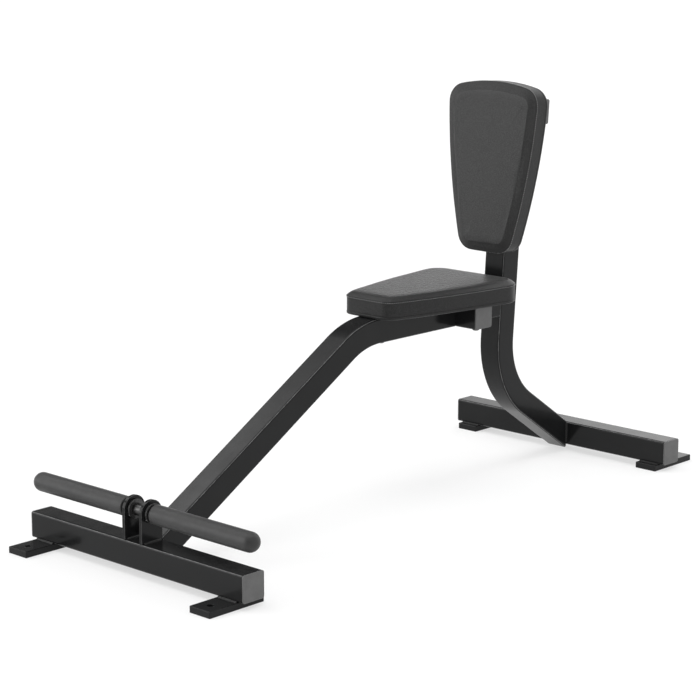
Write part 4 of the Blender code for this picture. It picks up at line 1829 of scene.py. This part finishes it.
@dataclass
class Fasteners:
    """The six bolts that hold the seat and the back rest."""

    shop: Workshop
    back: BackFrame
    bolt: ButtonBolt = field(default_factory=ButtonBolt)

    def build(self) -> None:
        """Put each bolt in the place of its node."""
        for word in ("front", "left", "right"):
            node = f"seat_bolt_{word}"
            low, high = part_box(node)
            place = ((low.x + high.x) / 2, (low.y + high.y) / 2, low.z + self.bolt.head + self.bolt.washer)
            self.bolt.build(node, Matrix.Translation(place), self.shop)
        low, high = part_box("back_bolt_right")
        reach = (low.x + high.x) / 2
        for word, x, rise in (("lower", 0.0, self.back.bolt_rise), ("left", -reach, self.back.bracket_rise),
                              ("right", reach, self.back.bracket_rise)):
            place = self.back.matrix() @ Matrix.Translation((x, rise, -TUBE - GAP))
            self.bolt.build(f"back_bolt_{word}", place, self.shop)


@dataclass
class Lug:
    """An upright plate with a round top about the foot bar, a bore and softly rounded edges."""

    edge: float = 0.0009
    lead: float = 0.0003
    edge_steps: int = 3
    arc_steps: int = 48
    side_steps: int = 8
    base_steps: int = 12

    def profile(self, reach: float, drop: float) -> list[tuple[float, float]]:
        """Draw the plate's outline.

        Args:
            reach: The radius of the round top and half the plate's width.
            drop: How far the plate's foot lies under the bore's middle.

        Returns:
            The (across, up) points from the bore's middle, anticlockwise.
        """
        fall = drop / self.side_steps
        points = arc_points((0, 0), reach, 0, 180, self.arc_steps)
        points += [(-reach, -fall * k) for k in range(1, self.side_steps + 1)]
        points += [(reach * (2 * k / self.base_steps - 1), -drop) for k in range(1, self.base_steps + 1)]
        points += [(reach, fall * k - drop) for k in range(1, self.side_steps)]
        return points

    def build(self, word: str, shop: Workshop) -> None:
        """Make the plate and let it replace its node.

        Args:
            word: The side, left or right.
            shop: The finishes.
        """
        node = f"foot_bar_lug_{word}"
        low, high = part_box(node)
        bar_low, bar_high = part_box("foot_bar")
        bush_low, bush_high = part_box(f"bush_{word}")
        middle = (bar_low + bar_high) / 2
        reach = (high.y - low.y) / 2
        drop = middle.z - low.z
        bore = (bush_high.z - bush_low.z) / 2 + GAP
        edge = self.edge
        rim = arc_points((edge, edge), edge, 180, 270, self.edge_steps)
        half = [(0.0, edge + self.lead), *rim, (edge + self.lead, 0.0)]
        rows = [(low.x + x, inset) for x, inset in half]
        rows += [(high.x - x, inset) for x, inset in reversed(half)]
        rings = [[Vector((x, middle.y + y, middle.z + z)) for y, z in self.profile(reach - inset, drop)]
                 for x, inset in rows]
        angles = [math.atan2(z, y) for y, z in self.profile(reach, drop)]
        for x in (high.x, low.x):
            rings.append([Vector((x, middle.y + bore * math.cos(a), middle.z + bore * math.sin(a)))
                          for a in angles])
        bm = bmesh.new()
        loft(bm, rings, closed=True)
        # The middle faces of the rim's rounded edges take the painted highlight coat.
        edge_highlight = (2, 2 * len(half) - 4)
        for number, face in enumerate(bm.faces):
            if number // len(angles) in edge_highlight:
                face.material_index = 1
        add_piece(node + "_rounded", bm, (shop.paint, shop.edge_highlight), Body.FRAME, stands_for=node)


@dataclass
class FootBar:
    """The bar that turns in its lugs, with its collars, set screws and rubber grips."""

    shop: Workshop
    lug: Lug = field(default_factory=Lug)
    bore: float = 0.0133
    collar_edge: float = 0.0007
    collar_steps: int = 4
    screw_radius: float = 0.0017
    screw_socket: float = 0.0017
    screw_edge: float = 0.0002
    screw_length: float = 0.004
    screw_proud: float = 0.00025
    screw_angle: float = -28.0
    screw_steps: int = 24
    screw_socket_depth: float = 0.0012
    screw_cone: float = 0.00024
    grip_edge: float = 0.0022
    mouth_edge: float = 0.0008
    grip_rows: tuple[float, ...] = (0.22, 0.15, 0.08, 0.02)
    dome_steps: int = 16
    mouth_steps: int = 6
    chamfer: float = 0.0008
    steps: int = 96

    def build(self) -> None:
        """Make the bar, the lugs, the collars and the grips, and dress the bushes."""
        dress([f"bush_{word}" for word, _ in SIDES], self.shop.bronze)
        self.bar()
        for word, side in SIDES:
            self.lug.build(word, self.shop)
            for where in ("inner", "outer"):
                self.collar(f"{where}_collar_{word}")
                self.set_screw(f"{where}_collar_{word}")
            self.grip(f"foot_grip_{word}", side)

    def axis_place(self, x: float, side: int = 1) -> Matrix:
        """Find the placement at a point of the bar's axis.

        Args:
            x: The point.
            side: 1 where Z turns to +X, -1 where it turns to -X.

        Returns:
            The placement.
        """
        low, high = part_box("foot_bar")
        centre = Matrix.Translation((x, (low.y + high.y) / 2, (low.z + high.z) / 2))
        return centre @ Matrix.Rotation(math.radians(90) * side, 4, "Y")

    def bar(self) -> None:
        """Turn the bar, with a chamfer at both ends."""
        low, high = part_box("foot_bar")
        radius = (high.z - low.z) / 2
        chamfer = self.chamfer
        rows = [(0, low.x), (radius - chamfer, low.x), (radius, low.x + chamfer), (radius, 0.0),
                (radius, high.x - chamfer), (radius - chamfer, high.x), (0, high.x)]
        add_piece("foot_bar_turned", turned(rows, self.steps), [self.shop.steel], Body.FOOT_BAR,
                  self.axis_place(0.0), "foot_bar")

    def collar(self, node: str) -> None:
        """Turn a collar with rounded rims, and let it replace its node.

        Args:
            node: The CAD node.
        """
        low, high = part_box(node)
        radius = (high.z - low.z) / 2
        half = (high.x - low.x) / 2
        edge = self.collar_edge
        rows = [(self.bore, half - edge / 2), (self.bore + edge / 2, half)]
        rows += reversed(arc_points((radius - edge, half - edge), edge, 0, 90, self.collar_steps))
        rows += [(r, -z) for r, z in reversed(rows)]
        add_piece(node + "_turned", turned(rows, self.steps, closed=True), [self.shop.collar], Body.FOOT_BAR,
                  self.axis_place((low.x + high.x) / 2), node, 40.0)

    def set_screw(self, node: str) -> None:
        """Put a set screw in a collar, with its socket facing out.

        Args:
            node: The collar's CAD node.
        """
        low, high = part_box(node)
        radius = self.screw_radius
        edge = self.screw_edge
        top = self.screw_proud
        steps = self.screw_steps
        end = -self.screw_length
        bottom = -self.screw_socket_depth
        outside = [(0, end), (radius, end), (radius, -edge), (radius - edge, top)]
        bm = bmesh.new()
        loft(bm, [*[circle(r, z, steps) for r, z in outside],
                  *[hexagon(self.screw_socket, z, steps) for z in (top, bottom)],
                  circle(0, bottom - self.screw_cone, steps)])
        centre = Matrix.Translation(self.axis_place((low.x + high.x) / 2).translation)
        turn = Matrix.Rotation(math.radians(-self.screw_angle), 4, "X")
        face = Matrix.Translation((0, (low.z - high.z) / 2, 0)) @ Matrix.Rotation(math.radians(90), 4, "X")
        add_piece(node + "_set_screw", bm, [self.shop.zinc], Body.FOOT_BAR,
                  centre @ turn @ face, crease=30.0)

    def grip(self, node: str, side: int) -> None:
        """Mould a round-ended grip with a softly rounded mouth, and let it replace its node.

        Args:
            node: The CAD node.
            side: 1 where the grip points to +X, -1 where it points to -X.
        """
        low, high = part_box(node)
        radius = (high.z - low.z) / 2
        length = high.x - low.x
        start = low.x if side > 0 else high.x
        edge = self.grip_edge
        mouth = self.mouth_edge
        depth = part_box("foot_bar")[1].x + GAP - abs(start)
        dome = arc_points((0, length - radius), radius, 0, 90, self.dome_steps)
        rows = [(0, length), *reversed(dome[:-1])]
        rows += [(radius, z) for z in self.grip_rows if z < length - radius]
        rows += arc_points((radius - edge, edge), edge, 0, -90, self.mouth_steps)
        rows += [(self.bore + mouth, 0), (self.bore, mouth), (self.bore, depth), (0, depth)]
        add_piece(node + "_moulded", turned(rows, self.steps), [self.shop.rubber], Body.FOOT_BAR,
                  self.axis_place(start, side), node, 50.0)


def main() -> None:
    """Build every part of the picture in order."""
    logging.basicConfig(level=logging.INFO, format="%(message)s", stream=sys.stdout)
    Studio().build()
    shop = Workshop()
    back = BackFrame()
    Frame(shop, back).build()
    seat = PadOutline(0.408, (0.1415, 0.0005, 0.030), (0.2825, 0.0023, 0.049), 0.0103)
    seat_section = Section(thickness=0.0545, panel=0.0533, shoulder=0.0125, lip=0.0011, inner=0.026)
    seat_place = Matrix.Translation((0, -0.0315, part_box("seat_board")[0].z))
    Pad(shop, "seat", seat, seat_section, seat_place, shop.seat_border_shaded, shop.seat_panel_lit).build()
    rest = PadOutline(0.3915, (0.1505, 0.0019, 0.044), (0.277, 0.0212, 0.0455), 0.0124)
    rest_section = Section(thickness=0.0505, panel=0.0494, shoulder=0.0225, lip=0.0002, inner=0.040)
    rest_place = back.matrix() @ Matrix.Translation((0, back.pad_rise, GAP))
    Pad(shop, "back", rest, rest_section, rest_place, shop.rest_border_shaded, shop.rest_panel_lit).build()
    Fasteners(shop, back).build()
    FootBar(shop).build()


if __name__ == "__main__":
    main()
